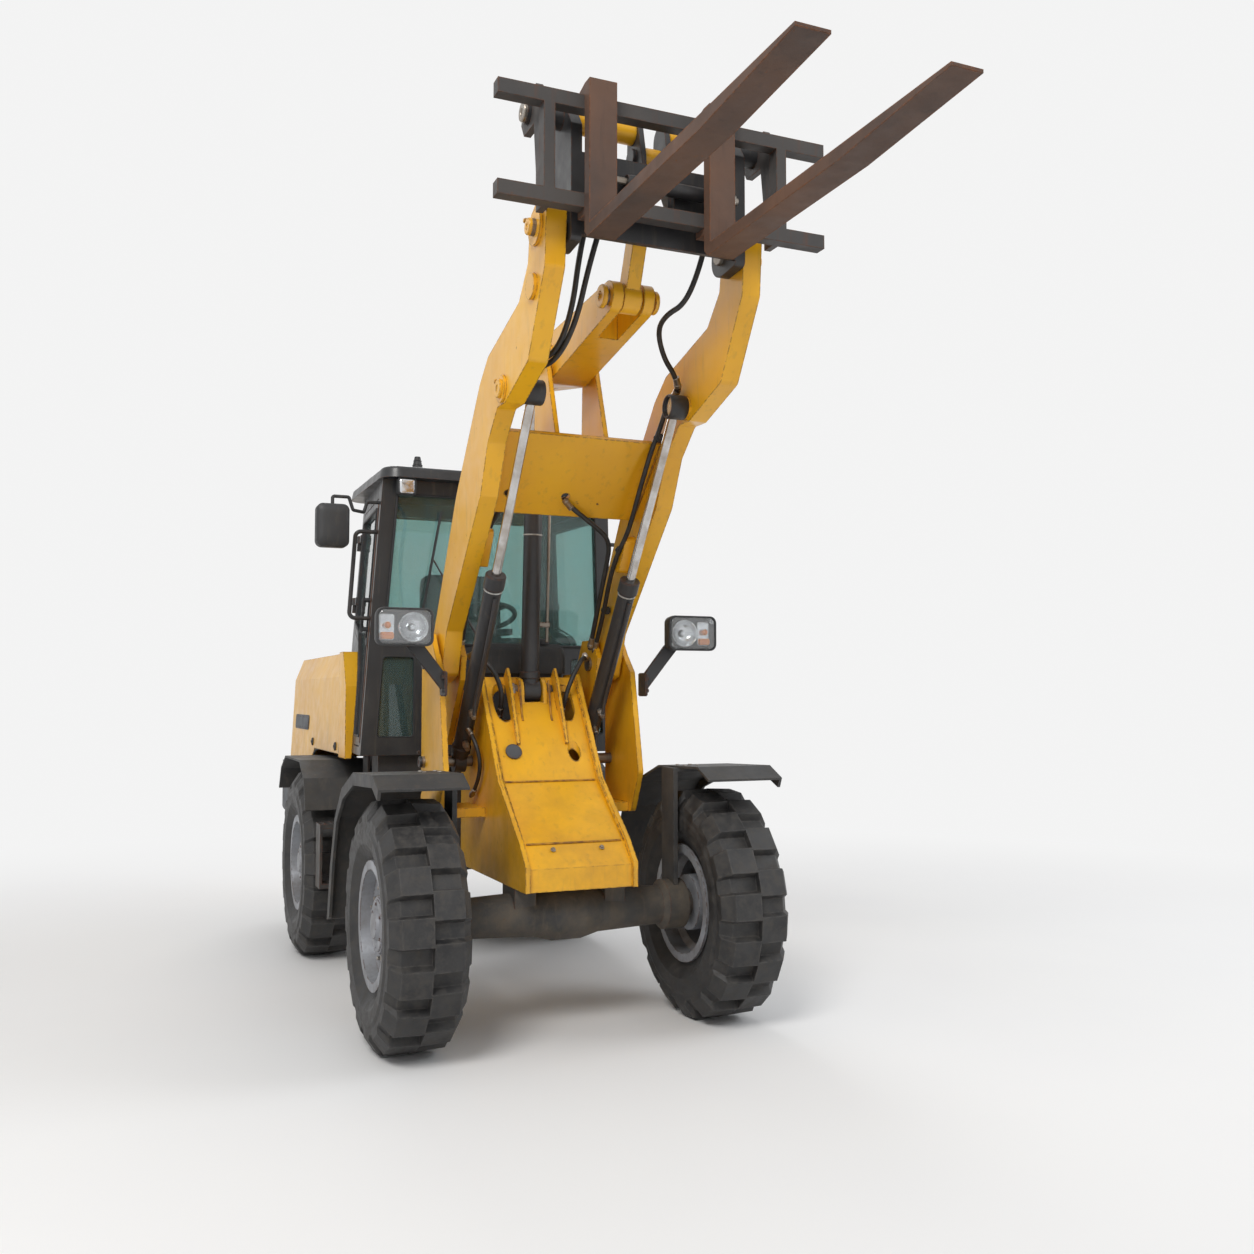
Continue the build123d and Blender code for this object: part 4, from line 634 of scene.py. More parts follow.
# %% Plates and blocks
def solid(bm, outline, limits, place, round_off=0.004):
    """Flat outline extruded between two limits. place(a, b, c) gives the point in the row frame."""
    low = [bm.verts.new(place(a, b, limits[0])) for a, b in outline]
    high = [bm.verts.new(place(a, b, limits[1])) for a, b in outline]
    faces = [bm.faces.new(low), bm.faces.new(list(reversed(high)))]
    count = len(outline)
    for n in range(count):
        faces.append(bm.faces.new((low[n], high[n], high[(n + 1) % count], low[(n + 1) % count])))
    if round_off:
        edges = list(dict.fromkeys(edge for face in faces for edge in face.edges))
        bmesh.ops.bevel(bm, geom=edges, offset=round_off, segments=2, affect="EDGES",
                        clamp_overlap=True)


def side_view(q, z, x):
    """Point q ahead of the front axle, at a height z and x to the left."""
    return Vector((x, FRONT_AXLE.y - q, z))


def front_view(x, z, y):
    """The same point, from an outline drawn in the front view."""
    return Vector((x, y, z))


def block(bm, low, high, round_off=0.004):
    """Box between two corners, with rounded edges."""
    outline = [(low[0], low[2]), (high[0], low[2]), (high[0], high[2]), (low[0], high[2])]
    solid(bm, outline, (low[1], high[1]), front_view, round_off)


# %% Nested outlines
def rounded_outline(centre, size, radius, steps=6):
    """Rounded rectangle as points, counterclockwise."""
    half = (size[0] / 2 - radius, size[1] / 2 - radius)
    points = []
    for quarter, (a, b) in enumerate(((1, 1), (-1, 1), (-1, -1), (1, -1))):
        for n in range(steps + 1):
            turn = (quarter + n / steps) * pi / 2
            points.append((centre[0] + a * half[0] + radius * cos(turn),
                           centre[1] + b * half[1] + radius * sin(turn)))
    return points


def skin(bm, sections, closed=True):
    """Skin over sections with equal numbers of points, each a list of positions."""
    rings = [[bm.verts.new(point) for point in section] for section in sections]
    count = len(rings[0])
    for low, high in zip(rings, rings[1:]):
        for n in range(count):
            bm.faces.new((low[n], low[(n + 1) % count], high[(n + 1) % count], high[n]))
    if closed:
        bm.faces.new(rings[0])
        bm.faces.new(rings[-1])


def nested(bm, centre, size, radius, face, steps, closed=True):
    """Skin over copies of a rounded rectangle. Each step is (scale, depth behind the face)."""
    outline = rounded_outline(centre, size, radius)
    sections = []
    for scale, depth in steps:
        section = []
        for x, z in outline:
            away = ((x - centre[0]) * scale, (z - centre[1]) * scale)
            section.append((centre[0] + away[0], face + depth, centre[1] + away[1]))
        sections.append(section)
    skin(bm, sections, closed)


# %% Lines
def line(name, points, radius, material, body, closed=False):
    """Tube, hose, seal or weld bead along one smooth NURBS line."""
    data = bpy.data.curves.new(name, "CURVE")
    data.dimensions = "3D"
    data.bevel_depth = radius
    data.bevel_resolution = 3
    data.resolution_u = 8
    data.use_fill_caps = True
    spline = data.splines.new("NURBS")
    spline.points.add(len(points) - 1)
    for control, point in zip(spline.points, points):
        control.co = (*point, 1.0)
    spline.use_cyclic_u = closed
    spline.use_endpoint_u = not closed
    spline.order_u = 3
    data.materials.append(MATERIALS[material])
    made = bpy.data.objects.new(name, data)
    bpy.context.scene.collection.objects.link(made)
    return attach(made, body)


# %% Headlight shells and lenses
LAMP = (0.650, 1.652)  # middle of the left lamp, seen from the front
LAMP_FRONT = FRONT_AXLE.y + 0.100
LAMP_SIZE = (0.236, 0.156)
LAMP_RADIUS = 0.030
BOWL_IN, TURN_LAMP_OUT = 0.036, 0.068  # from the middle of the housing
SHELL = ((0.55, 0.110), (0.80, 0.100), (0.96, 0.062), (1.0, 0.024), (1.0, 0.004), (0.985, 0.0),
         (0.93, 0.0), (0.91, 0.006), (0.86, 0.052))
COVER = ((0.91, 0.006), (0.90, 0.001), (0.84, -0.004), (0.5, -0.007))


def headlight(side_name, side):
    """Shell, bowl, bulb, turn lamp and cover of one headlight."""
    bm = bmesh.new()
    at = (side * LAMP[0], LAMP[1])
    nested(bm, at, LAMP_SIZE, LAMP_RADIUS, LAMP_FRONT, SHELL)
    housing = piece(f"headlight_housing_{side_name}", bm, "black_plastic", "front_frame")
    if side < 0:
        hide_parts("headlights")
    bm = bmesh.new()
    bowl = (side * (LAMP[0] - BOWL_IN), LAMP_FRONT + 0.050, LAMP[1])
    turned(bm,
           [(0.0, 0.0), (0.0, 0.016), (0.008, 0.034), (0.024, 0.050), (0.036, 0.055),
            (0.040, 0.060), (0.036, 0.062), (0.0, 0.062)], bowl, (0, -1, 0), 40)
    turned(bm, [(0.004, 0.010), (0.022, 0.012), (0.028, 0.008), (0.029, 0)], bowl, (0, -1, 0), 16)
    outer = side * (LAMP[0] + TURN_LAMP_OUT)
    block(bm, (outer - 0.030, LAMP_FRONT + 0.036, LAMP[1] - 0.052),
          (outer + 0.030, LAMP_FRONT + 0.050, LAMP[1] + 0.052))
    piece(f"headlight_reflector_{side_name}", bm, "reflector", "front_frame")
    bm = bmesh.new()
    turned(bm, [(0.0, 0.013), (0.016, 0.014), (0.024, 0.009), (0.026, 0)],
           (outer, LAMP_FRONT + 0.036, LAMP[1] + 0.006), (0, -1, 0), 16)
    block(bm, (outer - 0.027, LAMP_FRONT + 0.024, LAMP[1] - 0.050),
          (outer + 0.027, LAMP_FRONT + 0.037, LAMP[1] - 0.022))
    piece(f"turn_lamp_{side_name}", bm, "amber", "front_frame")
    bm = bmesh.new()
    nested(bm, at, LAMP_SIZE, LAMP_RADIUS, LAMP_FRONT, COVER)
    piece(f"headlight_lens_{side_name}", bm, "clear_lens", "front_frame")


# %% [markdown]
# Each lamp stands on a cranked plate arm, bolted to its tower through a foot. The cable runs
# down the arm's back. A thin tube along a smooth curve is enough for it, because a curve
# keeps its round section in every bend.

# %% Headlight arms and cables
ARM_FOOT = 0.458  # middle of the foot plate, on the tower's outer face


def headlight_arm(side_name, side):
    """Plate arm with its foot, bolts and cable."""
    bm = bmesh.new()
    arm = [(ARM_FOOT, 1.380), (ARM_FOOT, 1.470), (0.560, 1.600), (0.610, 1.640), (0.690, 1.640),
           (0.690, 1.600), (0.625, 1.590)]
    solid(bm, [(side * x, z) for x, z in arm], (LAMP_FRONT + 0.110, LAMP_FRONT + 0.124), front_view,
          0.003)
    block(bm, (side * ARM_FOOT - 0.006, LAMP_FRONT + 0.080, 1.370),
          (side * ARM_FOOT + 0.006, LAMP_FRONT + 0.165, 1.475))
    for z in (1.395, 1.450):
        bolt(bm, (side * 0.464, LAMP_FRONT + 0.098, z), (side, 0, 0), 0.012)
    turned(bm, [(0.0, 0.026), (0.020, 0.026), (0.024, 0.020), (0.024, 0)],
           (side * LAMP[0], LAMP_FRONT + 0.108, LAMP[1] - 0.030), (0, 1, 0), 20)
    piece(f"headlight_arm_{side_name}", bm, "black_metal", "front_frame")
    line(f"headlight_cable_{side_name}",
         [(side * 0.640, LAMP_FRONT + 0.106, 1.690), (side * 0.630, LAMP_FRONT + 0.150, 1.660),
          (side * 0.560, LAMP_FRONT + 0.135, 1.560), (side * 0.490, LAMP_FRONT + 0.134, 1.450),
          (side * 0.462, LAMP_FRONT + 0.150, 1.400)], 0.004, "hose_rubber", "front_frame")


for side_name, side in SIDES:
    headlight(side_name, side)
    headlight_arm(side_name, side)
tell("Headlights")

# %% [markdown]
# ## Linkage pins
#
# Every joint of the loader arms turns on a thick pin, held by a head with a keeper bolt. The
# heads could be cut into the CAD solids, but their chamfers and dished faces are finer than
# the solids need. `pin_cap` turns one from a short profile.

# %% Pin heads
def pin_cap(bm, at, axis, radius, height=0.012):
    """Pin head with a chamfer, a dished face and a centre mark."""
    turned(bm,
           [(-0.001, radius), (height * 0.7, radius), (height, radius * 0.92),
            (height, radius * 0.42), (height * 0.75, radius * 0.36), (height * 0.75, 0)], at, axis,
           32)


# Each spot is a pivot, its distance from the middle plane and the radius of the head.
for body, material, spots in (
    ("boom", "frame_yellow",
     [(LIFT_EYE, ARM_OUT + 0.010, 0.036), (COUPLER_PIVOT, ARM_OUT + 0.026, 0.030)]),
    ("front_frame", "black_metal",
     [(BOOM_PIVOT, PIN_END, 0.032), (LIFT_BASE, PIN_END, 0.025)]),
):
    bm = bmesh.new()
    for point, x, radius in spots:
        for side in (-1, 1):
            out = (side, 0, 0)
            at = Vector((side * x, *point))
            pin_cap(bm, at, out, radius)
            keeper = at + Vector((-side * 0.001, 0.052, 0.040))
            bolt(bm, keeper, out, 0.010)
    piece(f"pin_heads_{body}", bm, material, body)
bm = bmesh.new()
for point, x, radius in ((ROCKER_PIVOT, 0.117, 0.052), (LIFT_EYE, ARM_IN - 0.012, 0.034)):
    for side in (-1, 1):
        out = (side if point == ROCKER_PIVOT else -side, 0, 0)
        pin_cap(bm, (side * x, *point), out, radius, 0.014)
piece("boom_inner_pins", bm, "steel_fitting", "boom")

# %% Rocker and tilt pins
CAP_BOLT = 0.014  # a cap's bolt sits this far outside its foot
for name, material, body, point, x, radius, height, head in (
    ("rocker_front_caps", "frame_yellow", "rocker", ROCKER_FRONT, 0.098, 0.044, 0.016, 0.012),
    ("rocker_rear_caps", "frame_yellow", "rocker", ROCKER_REAR, 0.092, 0.038, 0.014, None),
    ("tilt_pin_heads", "steel_fitting", "front_frame", TILT_BASE, 0.078, 0.036, 0.016, 0.010),
):
    bm = bmesh.new()
    for side in (-1, 1):
        pin_cap(bm, (side * x, *point), (side, 0, 0), radius, height)
        if head:
            bolt(bm, (side * (x + CAP_BOLT), *point), (side, 0, 0), head)
    piece(name, bm, material, body)
tell("Linkage pins")

# %% [markdown]
# ## Hydraulic cylinders
#
# A cylinder's barrel carries a gland cap at the rod's end, a collar at its base, a painted
# ring, two hose unions and a steel pipe from one of them to the gland. They could be cut
# into the CAD barrel, but that would cost it many faces. All of them sit along one straight
# axis, so each is a turned form placed by its distance along it. The collars are bands that stay open
# inside, because a closed disc would cut through the barrel that they go round. The tilt
# cylinder also has a thin rod that shows the driver how level the forks are.

# %% Cylinder details
def along(start, end, distance, x=0.0):
    """Point on the line between two side-view points, at a distance from the start."""
    a, b = Vector((x, *start)), Vector((x, *end))
    return a + (b - a).normalized() * distance


PORTS = (0.13, 0.30)  # the two hose unions, from the base eye


def cylinder_details(name, body, base, eye, x, radius, length, forward):
    """Collars, painted ring, hose unions and steel pipe of one barrel."""
    axis = (Vector((0, *eye)) - Vector((0, *base))).normalized()
    bm = bmesh.new()
    for at, grow, thick in ((length - 0.062, 0.007, 0.058), (0.055, 0.006, 0.030)):
        turned(bm,
               [(0, radius), (0.002, radius + grow), (thick, radius + grow),
                (thick + 0.003, radius)], along(base, eye, at, x), axis, 36, band=True)
    piece(f"{name}_collars", bm, "black_metal", body)
    bm = bmesh.new()
    ring_at = length - 0.075 if "lift" in name else length * 0.62
    turned(bm, [(0, radius), (0.001, radius + 0.0025), (0.006, radius + 0.0025), (0.007, radius)],
           along(base, eye, ring_at, x), axis, 36, band=True)
    piece(f"{name}_weld_ring", bm, "white_ring", body)
    outwards = Vector(forward).normalized()
    bm = bmesh.new()
    for at in PORTS:
        start = along(base, eye, at, x) + outwards * (radius - 0.0025)
        turned(bm,
               [(0, 0.014), (0.022, 0.018), (0.026, 0.016), (0.026, 0.013), (0.040, 0.013),
                (0.042, 0.011), (0.052, 0.011)], start, outwards, 6)
    piece(f"{name}_unions", bm, "steel_fitting", body)
    points = [along(base, eye, PORTS[1], x) + outwards * (radius + 0.040)]
    points += [along(base, eye, at, x) + outwards * (radius + 0.022)
               for at in (0.36, 0.44, length - 0.18)]
    points += [along(base, eye, length - 0.09, x) + outwards * (radius + 0.009)]
    line(f"{name}_pipe", points, 0.0075, "black_metal", body)


for side_name, side in SIDES:
    cylinder_details(f"lift_{side_name}", f"lift_barrel_{side_name}", LIFT_BASE, LIFT_EYE,
                     side * CYLINDER_X, radius=0.037, length=0.960, forward=(0, -0.82, -0.57))
cylinder_details("tilt", "tilt_barrel", TILT_BASE, ROCKER_REAR, 0.0,
                 radius=0.041, length=1.130, forward=(0.35, 0.93, 0.05))


# %% Tilt indicator
INDICATOR_LENGTH = 1.02
bm = bmesh.new()
rod_start = along(TILT_BASE, ROCKER_REAR, 0.22, 0.078)
rod_axis = Vector((0, *ROCKER_REAR)) - Vector((0, *TILT_BASE))
turned(bm, [(0, 0.007), (INDICATOR_LENGTH, 0.007), (INDICATOR_LENGTH + 0.005, 0.004),
            (INDICATOR_LENGTH + 0.005, 0)], rod_start, rod_axis, 12)
for at in (0.30, 0.98):
    foot = along(TILT_BASE, ROCKER_REAR, at, 0.0)
    block(bm, foot + Vector((0.030, -0.010, -0.012)), foot + Vector((0.090, 0.010, 0.012)), 0.003)
piece("tilt_indicator", bm, "bare_steel", "tilt_barrel")
tell("Cylinders")

# %% [markdown]
# ## Front frame
#
# The sloping front of the frame is welded from thick plate: gussets beside the tilt ears, a
# raised ridge along each side, a round access cover and a dark oil tank behind. Weld beads
# could be a bump in the paint, but they catch light along their whole length, so each is a
# thin tube laid half into the corner.

# %% Gussets and covers
GUSSET_X, RIDGE_X = 0.112, 0.222
bm = bmesh.new()
gusset = [(-0.470, 1.452), (-0.430, 1.500), (-0.395, 1.450), (-0.262, 1.165), (-0.282, 1.150)]
for side in (-1, 1):
    solid(bm, gusset, (side * GUSSET_X - 0.008, side * GUSSET_X + 0.008), side_view, 0.003)
    ridge = [(-0.470, 1.462), (-0.172, 1.008), (0.118, 0.776), (0.122, 0.784), (-0.160, 1.020),
             (-0.458, 1.470)]
    solid(bm, ridge, (side * RIDGE_X - 0.009, side * RIDGE_X + 0.009), side_view, 0.003)
piece("frame_gussets", bm, "frame_yellow", "front_frame")
bm = bmesh.new()
turned(bm, [(-0.002, 0.036), (0.004, 0.036), (0.007, 0.031), (0.005, 0.024), (0.005, 0)],
       side_view(-0.250, 1.132, -0.140), (0, -0.84, 0.55), 36)
piece("access_cover", bm, "dark_grey", "front_frame")
bm = bmesh.new()
face_normal = (0, -0.62, 0.78)
for x in (-0.100, 0.110):
    bolt(bm, side_view(0.142, 0.757, x), face_normal, 0.010)
piece("face_bolts", bm, "steel_fitting", "front_frame")

# %% Frame welds and tank
ACROSS = (-0.205, -0.1, 0.0, 0.1, 0.205)
for name, points in (
    ("face_seam", [side_view(0.117, 0.779, x) for x in ACROSS]),
    ("face_fold", [side_view(-0.171, 1.008, x) for x in ACROSS]),
):
    line(f"weld_{name}", points, 0.0045, "weld", "front_frame")
for side_name, side in SIDES:
    edge = [(-0.462, 1.458), (-0.320, 1.236), (-0.172, 1.010), (-0.030, 0.896), (0.112, 0.781)]
    line(f"weld_face_{side_name}", [side_view(q, z, side * 0.2335) for q, z in edge], 0.0045,
         "weld", "front_frame")
    ear = [(-0.395, 1.440), (-0.380, 1.400), (-0.366, 1.300), (-0.340, 1.262)]
    line(f"weld_ear_{side_name}", [side_view(q, z, side * 0.068) for q, z in ear], 0.005, "weld",
         "front_frame")
bm = bmesh.new()
tank = [(-0.700, 1.458), (-0.700, 1.590), (-0.670, 1.615), (-0.590, 1.615), (-0.560, 1.560),
        (-0.560, 1.458)]
solid(bm, tank, (-0.215, 0.215), side_view, 0.016)
turned(bm, [(0, 0.034), (0.022, 0.034), (0.028, 0.028), (0.028, 0)],
       side_view(-0.630, 1.612, 0.120), (0, 0, 1), 24)
piece("oil_cover", bm, "black_plastic", "front_frame")
tell("Front frame")

# %% [markdown]
# ## Boom welds, hoses and clips
#
# Rubber hoses carry oil up the arms. They could be simulated, but the result has to be the
# same at every run. So each is one smooth curve with a crimped fitting at both ends. A hose
# is clipped to what carries it, so it rides whole on one body and ends beside the pivot that
# it would cross.

# %% Boom welds
for side_name, side in SIDES:
    seams = {
        "cross_front": [(-0.080, 2.156), (0.060, 2.292), (0.200, 2.428)],
        "cross_rear": [(-0.066, 2.142), (0.074, 2.278), (0.214, 2.414)],
    }
    for name, seam in seams.items():
        line(f"weld_{name}_{side_name}",
             [side_view(q, z, side * (ARM_IN - 0.003)) for q, z in seam], 0.0055, "weld", "boom")
    foot = [(-0.045, 2.196), (0.060, 2.297), (0.165, 2.398)]
    line(f"weld_bracket_{side_name}",
         [side_view(q - 0.004, z + 0.006, side * 0.121) for q, z in foot], 0.0055, "weld", "boom")


# %% Hose helper
def hose(name, body, points, radius=0.0105):
    """Rubber hose with a crimped steel fitting at each end."""
    line(name, points, radius, "hose_rubber", body)
    bm = bmesh.new()
    for end, inner in ((points[0], points[1]), (points[-1], points[-2])):
        axis = Vector(inner) - Vector(end)
        turned(bm,
               [(-0.004, 0.0), (-0.004, radius * 0.9), (0.010, radius * 0.9),
                (0.010, radius * 1.45), (0.024, radius * 1.45), (0.026, radius * 1.3),
                (0.058, radius * 1.3), (0.060, radius)], end, axis, 12)
    piece(f"{name}_ends", bm, "steel_fitting", body)


def route(*points):
    """Points given as (x, q, z)."""
    return [side_view(q, z, x) for x, q, z in points]


# %% Hoses on the coupler
hose("coupler_hose_right_a", "coupler", route(
    (-0.150, 0.905, 3.250), (-0.165, 0.860, 3.225), (-0.205, 0.790, 3.120), (-0.225, 0.740, 2.960),
    (-0.235, 0.700, 2.780), (-0.262, 0.640, 2.650), (-0.300, 0.560, 2.610), (-0.318, 0.470, 2.640)))
hose("coupler_hose_right_b", "coupler", route(
    (-0.110, 0.905, 3.230), (-0.125, 0.850, 3.190), (-0.160, 0.790, 3.070), (-0.190, 0.735, 2.910),
    (-0.215, 0.690, 2.740), (-0.255, 0.620, 2.620), (-0.296, 0.530, 2.590), (-0.320, 0.430, 2.610)))
hose("coupler_hose_left", "coupler",
     route((0.255, 0.905, 3.180), (0.250, 0.850, 3.120), (0.232, 0.800, 2.960),
           (0.190, 0.760, 2.830), (0.140, 0.700, 2.800), (0.150, 0.600, 2.770),
           (0.215, 0.520, 2.690), (0.290, 0.470, 2.640), (0.322, 0.430, 2.600)))


# %% Hoses on the boom
hose("boom_hose_right", "boom",
     route((-0.322, 0.430, 2.600), (-0.324, 0.330, 2.560), (-0.326, 0.200, 2.470),
           (-0.326, 0.090, 2.330), (-0.250, 0.020, 2.245), (-0.250, -0.050, 2.180),
           (-0.290, -0.150, 2.080), (-0.322, -0.260, 1.900), (-0.322, -0.360, 1.730),
           (-0.318, -0.470, 1.570)))
hose("boom_hose_left_a", "boom",
     route((0.322, 0.430, 2.600), (0.324, 0.320, 2.560), (0.326, 0.240, 2.470),
           (0.300, 0.225, 2.400), (0.290, 0.120, 2.240), (0.300, -0.020, 2.080),
           (0.284, -0.110, 1.990), (0.286, -0.200, 1.890), (0.310, -0.330, 1.740),
           (0.316, -0.460, 1.575)))
hose("boom_hose_left_b", "boom", route(
    (0.000, -0.020, 2.205), (0.020, 0.000, 2.170), (0.140, -0.050, 2.110), (0.250, -0.100, 2.050),
    (0.262, -0.190, 1.930), (0.280, -0.330, 1.760), (0.292, -0.450, 1.590)))


# %% Hoses on the frame and clips
for side_name, side in SIDES:
    hose(f"frame_hose_{side_name}", "front_frame",
         route((side * 0.292, -0.490, 1.540), (side * 0.262, -0.440, 1.560),
               (side * 0.200, -0.380, 1.500), (side * 0.158, -0.378, 1.410),
               (side * 0.148, -0.400, 1.340), (side * 0.145, -0.450, 1.270)))
    hose(f"port_hose_{side_name}", "front_frame", route(
        (side * 0.300, -0.420, 1.235), (side * 0.285, -0.340, 1.180), (side * 0.262, -0.330, 1.080),
        (side * 0.258, -0.400, 0.980), (side * 0.262, -0.480, 0.930)), 0.009)
bm = bmesh.new()
for x, q, z in ((0.326, 0.236, 2.440), (0.300, -0.110, 2.010), (-0.326, 0.200, 2.470),
                (0.322, -0.330, 1.760)):
    at = side_view(q, z, x)
    side = 1 if x > 0 else -1
    block(bm, at - Vector((0.017, 0.020, 0.017)), at + Vector((0.017, 0.020, 0.017)), 0.006)
    bolt(bm, at - Vector((side * 0.017, 0, 0)), (-side, 0, 0), 0.008)
piece("hose_clips", bm, "black_plastic", "boom")
tell("Hoses")

# %% [markdown]
# ## Coupler and forks
#
# The coupler locks the carriage with two sliding rods, pushed by a small cylinder between
# its plates. Each fork has a lock pin on the top bar. All are plain turned or boxed forms,
# so they are made straight from their profiles. The yellow tube across the coupler is the
# same solid as its plates, so its paint is a thin band round it.

# %% Coupler lock and fork pins
CROSS_TUBE = (0.850, 3.392)  # axis of the tube across the coupler's top
bm = bmesh.new()
lock = side_view(0.992, 3.145, 0.0)
turned(bm,
       [(-0.150, 0.0), (-0.150, 0.024), (-0.135, 0.026), (0.135, 0.026), (0.150, 0.024),
        (0.150, 0.0)], lock, (1, 0, 0), 24)
piece("lock_cylinder", bm, "black_metal", "coupler")
bm = bmesh.new()
turned(bm, [(-0.285, 0.0), (-0.285, 0.013), (0.285, 0.013), (0.285, 0.0)], lock, (1, 0, 0), 20)
for x in (-0.255, 0.255):
    turned(bm, [(-0.014, 0.0), (-0.014, 0.027), (0.014, 0.027), (0.014, 0.0)],
           lock + Vector((x, 0, 0)), (1, 0, 0), 6)
piece("lock_rods", bm, "steel_fitting", "coupler")
bm = bmesh.new()
for side in (-1, 1):
    for q, z in (CROSS_TUBE, (0.840, 2.995)):
        pin_cap(bm, side_view(q, z, side * (0.471 if z > 3.2 else 0.337)), (side, 0, 0), 0.034,
                0.012)
    for z in (3.060, 3.300):
        bolt(bm, side_view(0.952, z + 0.010, side * 0.200), (0, -1, 0), 0.014)
piece("coupler_bolts", bm, "steel_fitting", "coupler")
bm = bmesh.new()
for x in (-0.270, 0.180):
    turned(bm, [(-0.010, 0.013), (0.012, 0.013), (0.016, 0.010), (0.016, 0)],
           side_view(1.018, 3.438, x), (0, 0, 1), 16)
    block(bm, side_view(1.024, 3.450, x - 0.030), side_view(1.012, 3.460, x + 0.006), 0.003)
piece("fork_locks", bm, "rusty_steel", "coupler")

# %% Tube paint and lift eyes
bm = bmesh.new()
for side in (-1, 1):
    start, end = side_view(*CROSS_TUBE, side * 0.063), side_view(*CROSS_TUBE, side * 0.297)
    turned(bm, [(0, 0.0385), (0, 0.0405), (0.234, 0.0405), (0.234, 0.0385)], start, end - start, 36,
           band=True)
piece("coupler_tube_paint", bm, "frame_yellow", "coupler")
for side_name, side in SIDES:
    bm = bmesh.new()
    eye = Vector((side * 0.262, *LIFT_EYE))
    turned(bm,
           [(0.0, 0.040), (0.0, 0.046), (0.004, 0.0485), (0.072, 0.0485), (0.076, 0.046),
            (0.076, 0.040)], eye, (side, 0, 0), 36, band=True)
    piece(f"lift_eye_bush_{side_name}", bm, "black_metal", f"lift_rod_{side_name}")
tell("Coupler")

# %% [markdown]
# ## Seat
#
# Crowned cushions replace the CAD solid: their corners are drawn in, and sewn channels cross
# the seat and the back. A cloth simulation would puff them up, but it is slow and hard to
# repeat exactly. Here each pad is a divided cube whose points are moved by a formula. The
# pads stand on a ribbed suspension.

# %% Cushion helper
CHANNEL_DEPTH, CHANNEL_WIDTH = 0.10, 0.055  # as parts of half the pad


def cushion(name, low, high, lean, channels):
    """Padded form in a box, leaning about X, with sewn channels along its long side."""
    bm = bmesh.new()
    bmesh.ops.create_cube(bm, size=2.0)
    bmesh.ops.subdivide_edges(bm, edges=bm.edges, cuts=15, use_grid_fill=True)
    size = [(b - a) / 2 for a, b in zip(low, high)]
    thin = size.index(min(size))
    wide = 2 if thin == 1 else 1
    for vert in bm.verts:
        point = vert.co.copy()
        for axis in range(3):
            others = [abs(point[other]) for other in range(3) if other != axis]
            pull = 0.160 if axis == thin else 0.056  # how far the corners draw in
            vert.co[axis] = point[axis] * (1 - pull * max(others) ** 6)
        groove = sum(CHANNEL_DEPTH * 2.718 ** (-((point[wide] - c) / CHANNEL_WIDTH) ** 2)
                     for c in channels)
        vert.co[thin] *= 1 - groove * (abs(point[thin]) > 0.7)
        vert.co = Vector([vert.co[axis] * size[axis] for axis in range(3)])
    centre = Vector([(a + b) / 2 for a, b in zip(low, high)])
    bmesh.ops.rotate(bm, verts=bm.verts, cent=(0, 0, 0),
                     matrix=Matrix.Rotation(radians(lean), 3, "X"))
    bmesh.ops.translate(bm, verts=bm.verts, vec=centre)
    made = piece(name, bm, "seat_fabric", "rear_frame")
    modifier = made.modifiers.new("soft", "SUBSURF")
    modifier.levels = 1
    modifier.render_levels = 1
    return made


# %% Seat
SEAT_Y, SEAT_Z = HINGE_Y + 0.340, 1.135
pad = cushion("seat_cushion", (-0.228, SEAT_Y + 0.004, SEAT_Z + 0.318),
              (0.228, SEAT_Y + 0.290, SEAT_Z + 0.414), 0, (-0.35, 0.25))
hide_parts("seat")
cushion("seat_back", (-0.220, SEAT_Y + 0.262, SEAT_Z + 0.400),
        (0.220, SEAT_Y + 0.338, SEAT_Z + 0.890), -6, (-0.45, 0.05, 0.5))
for side_name, side in SIDES:
    cushion(f"armrest_{side_name}", (side * 0.205 - 0.022, SEAT_Y + 0.080, SEAT_Z + 0.560),
            (side * 0.205 + 0.022, SEAT_Y + 0.270, SEAT_Z + 0.596), 0, ())
bm = bmesh.new()
for n in range(7):
    z = SEAT_Z + 0.004 + n * 0.042
    bulge = 0.012 if n % 2 else 0.0
    block(bm, (-0.178 - bulge, SEAT_Y + 0.052 - bulge, z),
          (0.178 + bulge, SEAT_Y + 0.276 + bulge, z + 0.044), 0.010)
piece("seat_suspension", bm, "seal_rubber", "rear_frame")
tell("Seat")

# %% [markdown]
# ## Cab seals
#
# Each pane sits in a black rubber seal. A bevelled strip would need a clean corner joint, so
# a closed tube is laid round the pane instead, with its points drawn close at the corners to
# keep them tight. The cab narrows upwards and its face leans forward, so two short functions
# give the walls at every height.

# %% Cab walls and seal helper
CAB_FLOOR, WAIST = 1.090, 1.640
CAB_FRONT = 0.010  # the front face stands this far behind the hinge
LEAN, LEAN_HEIGHT = 0.060, 0.760  # the face leans forward by LEAN over this height


def cab_half(z, behind=CAB_FRONT):
    """Half the cab's width at a height, and at a distance behind the hinge."""
    return 0.655 - 0.065 * (z - CAB_FLOOR) - 0.08 * (behind - CAB_FRONT)


def front_face(z):
    """Y of the cab's front face at a height: it leans forward above the waist."""
    return HINGE_Y + CAB_FRONT - LEAN * max(0.0, z - WAIST) / LEAN_HEIGHT


def seal(name, corners, body="rear_frame", radius=0.007):
    """Closed rubber seal with tight corners."""
    points = []
    for n, corner in enumerate(corners):
        before, after = Vector(corners[n - 1]), Vector(corners[(n + 1) % len(corners)])
        corner = Vector(corner)
        for end in (before, after):
            reach = (end - corner).normalized() * 0.045
            points.append(corner + reach)
            if end is before:
                points.append(corner)
    return line(name, points, radius, "seal_rubber", body, closed=True)


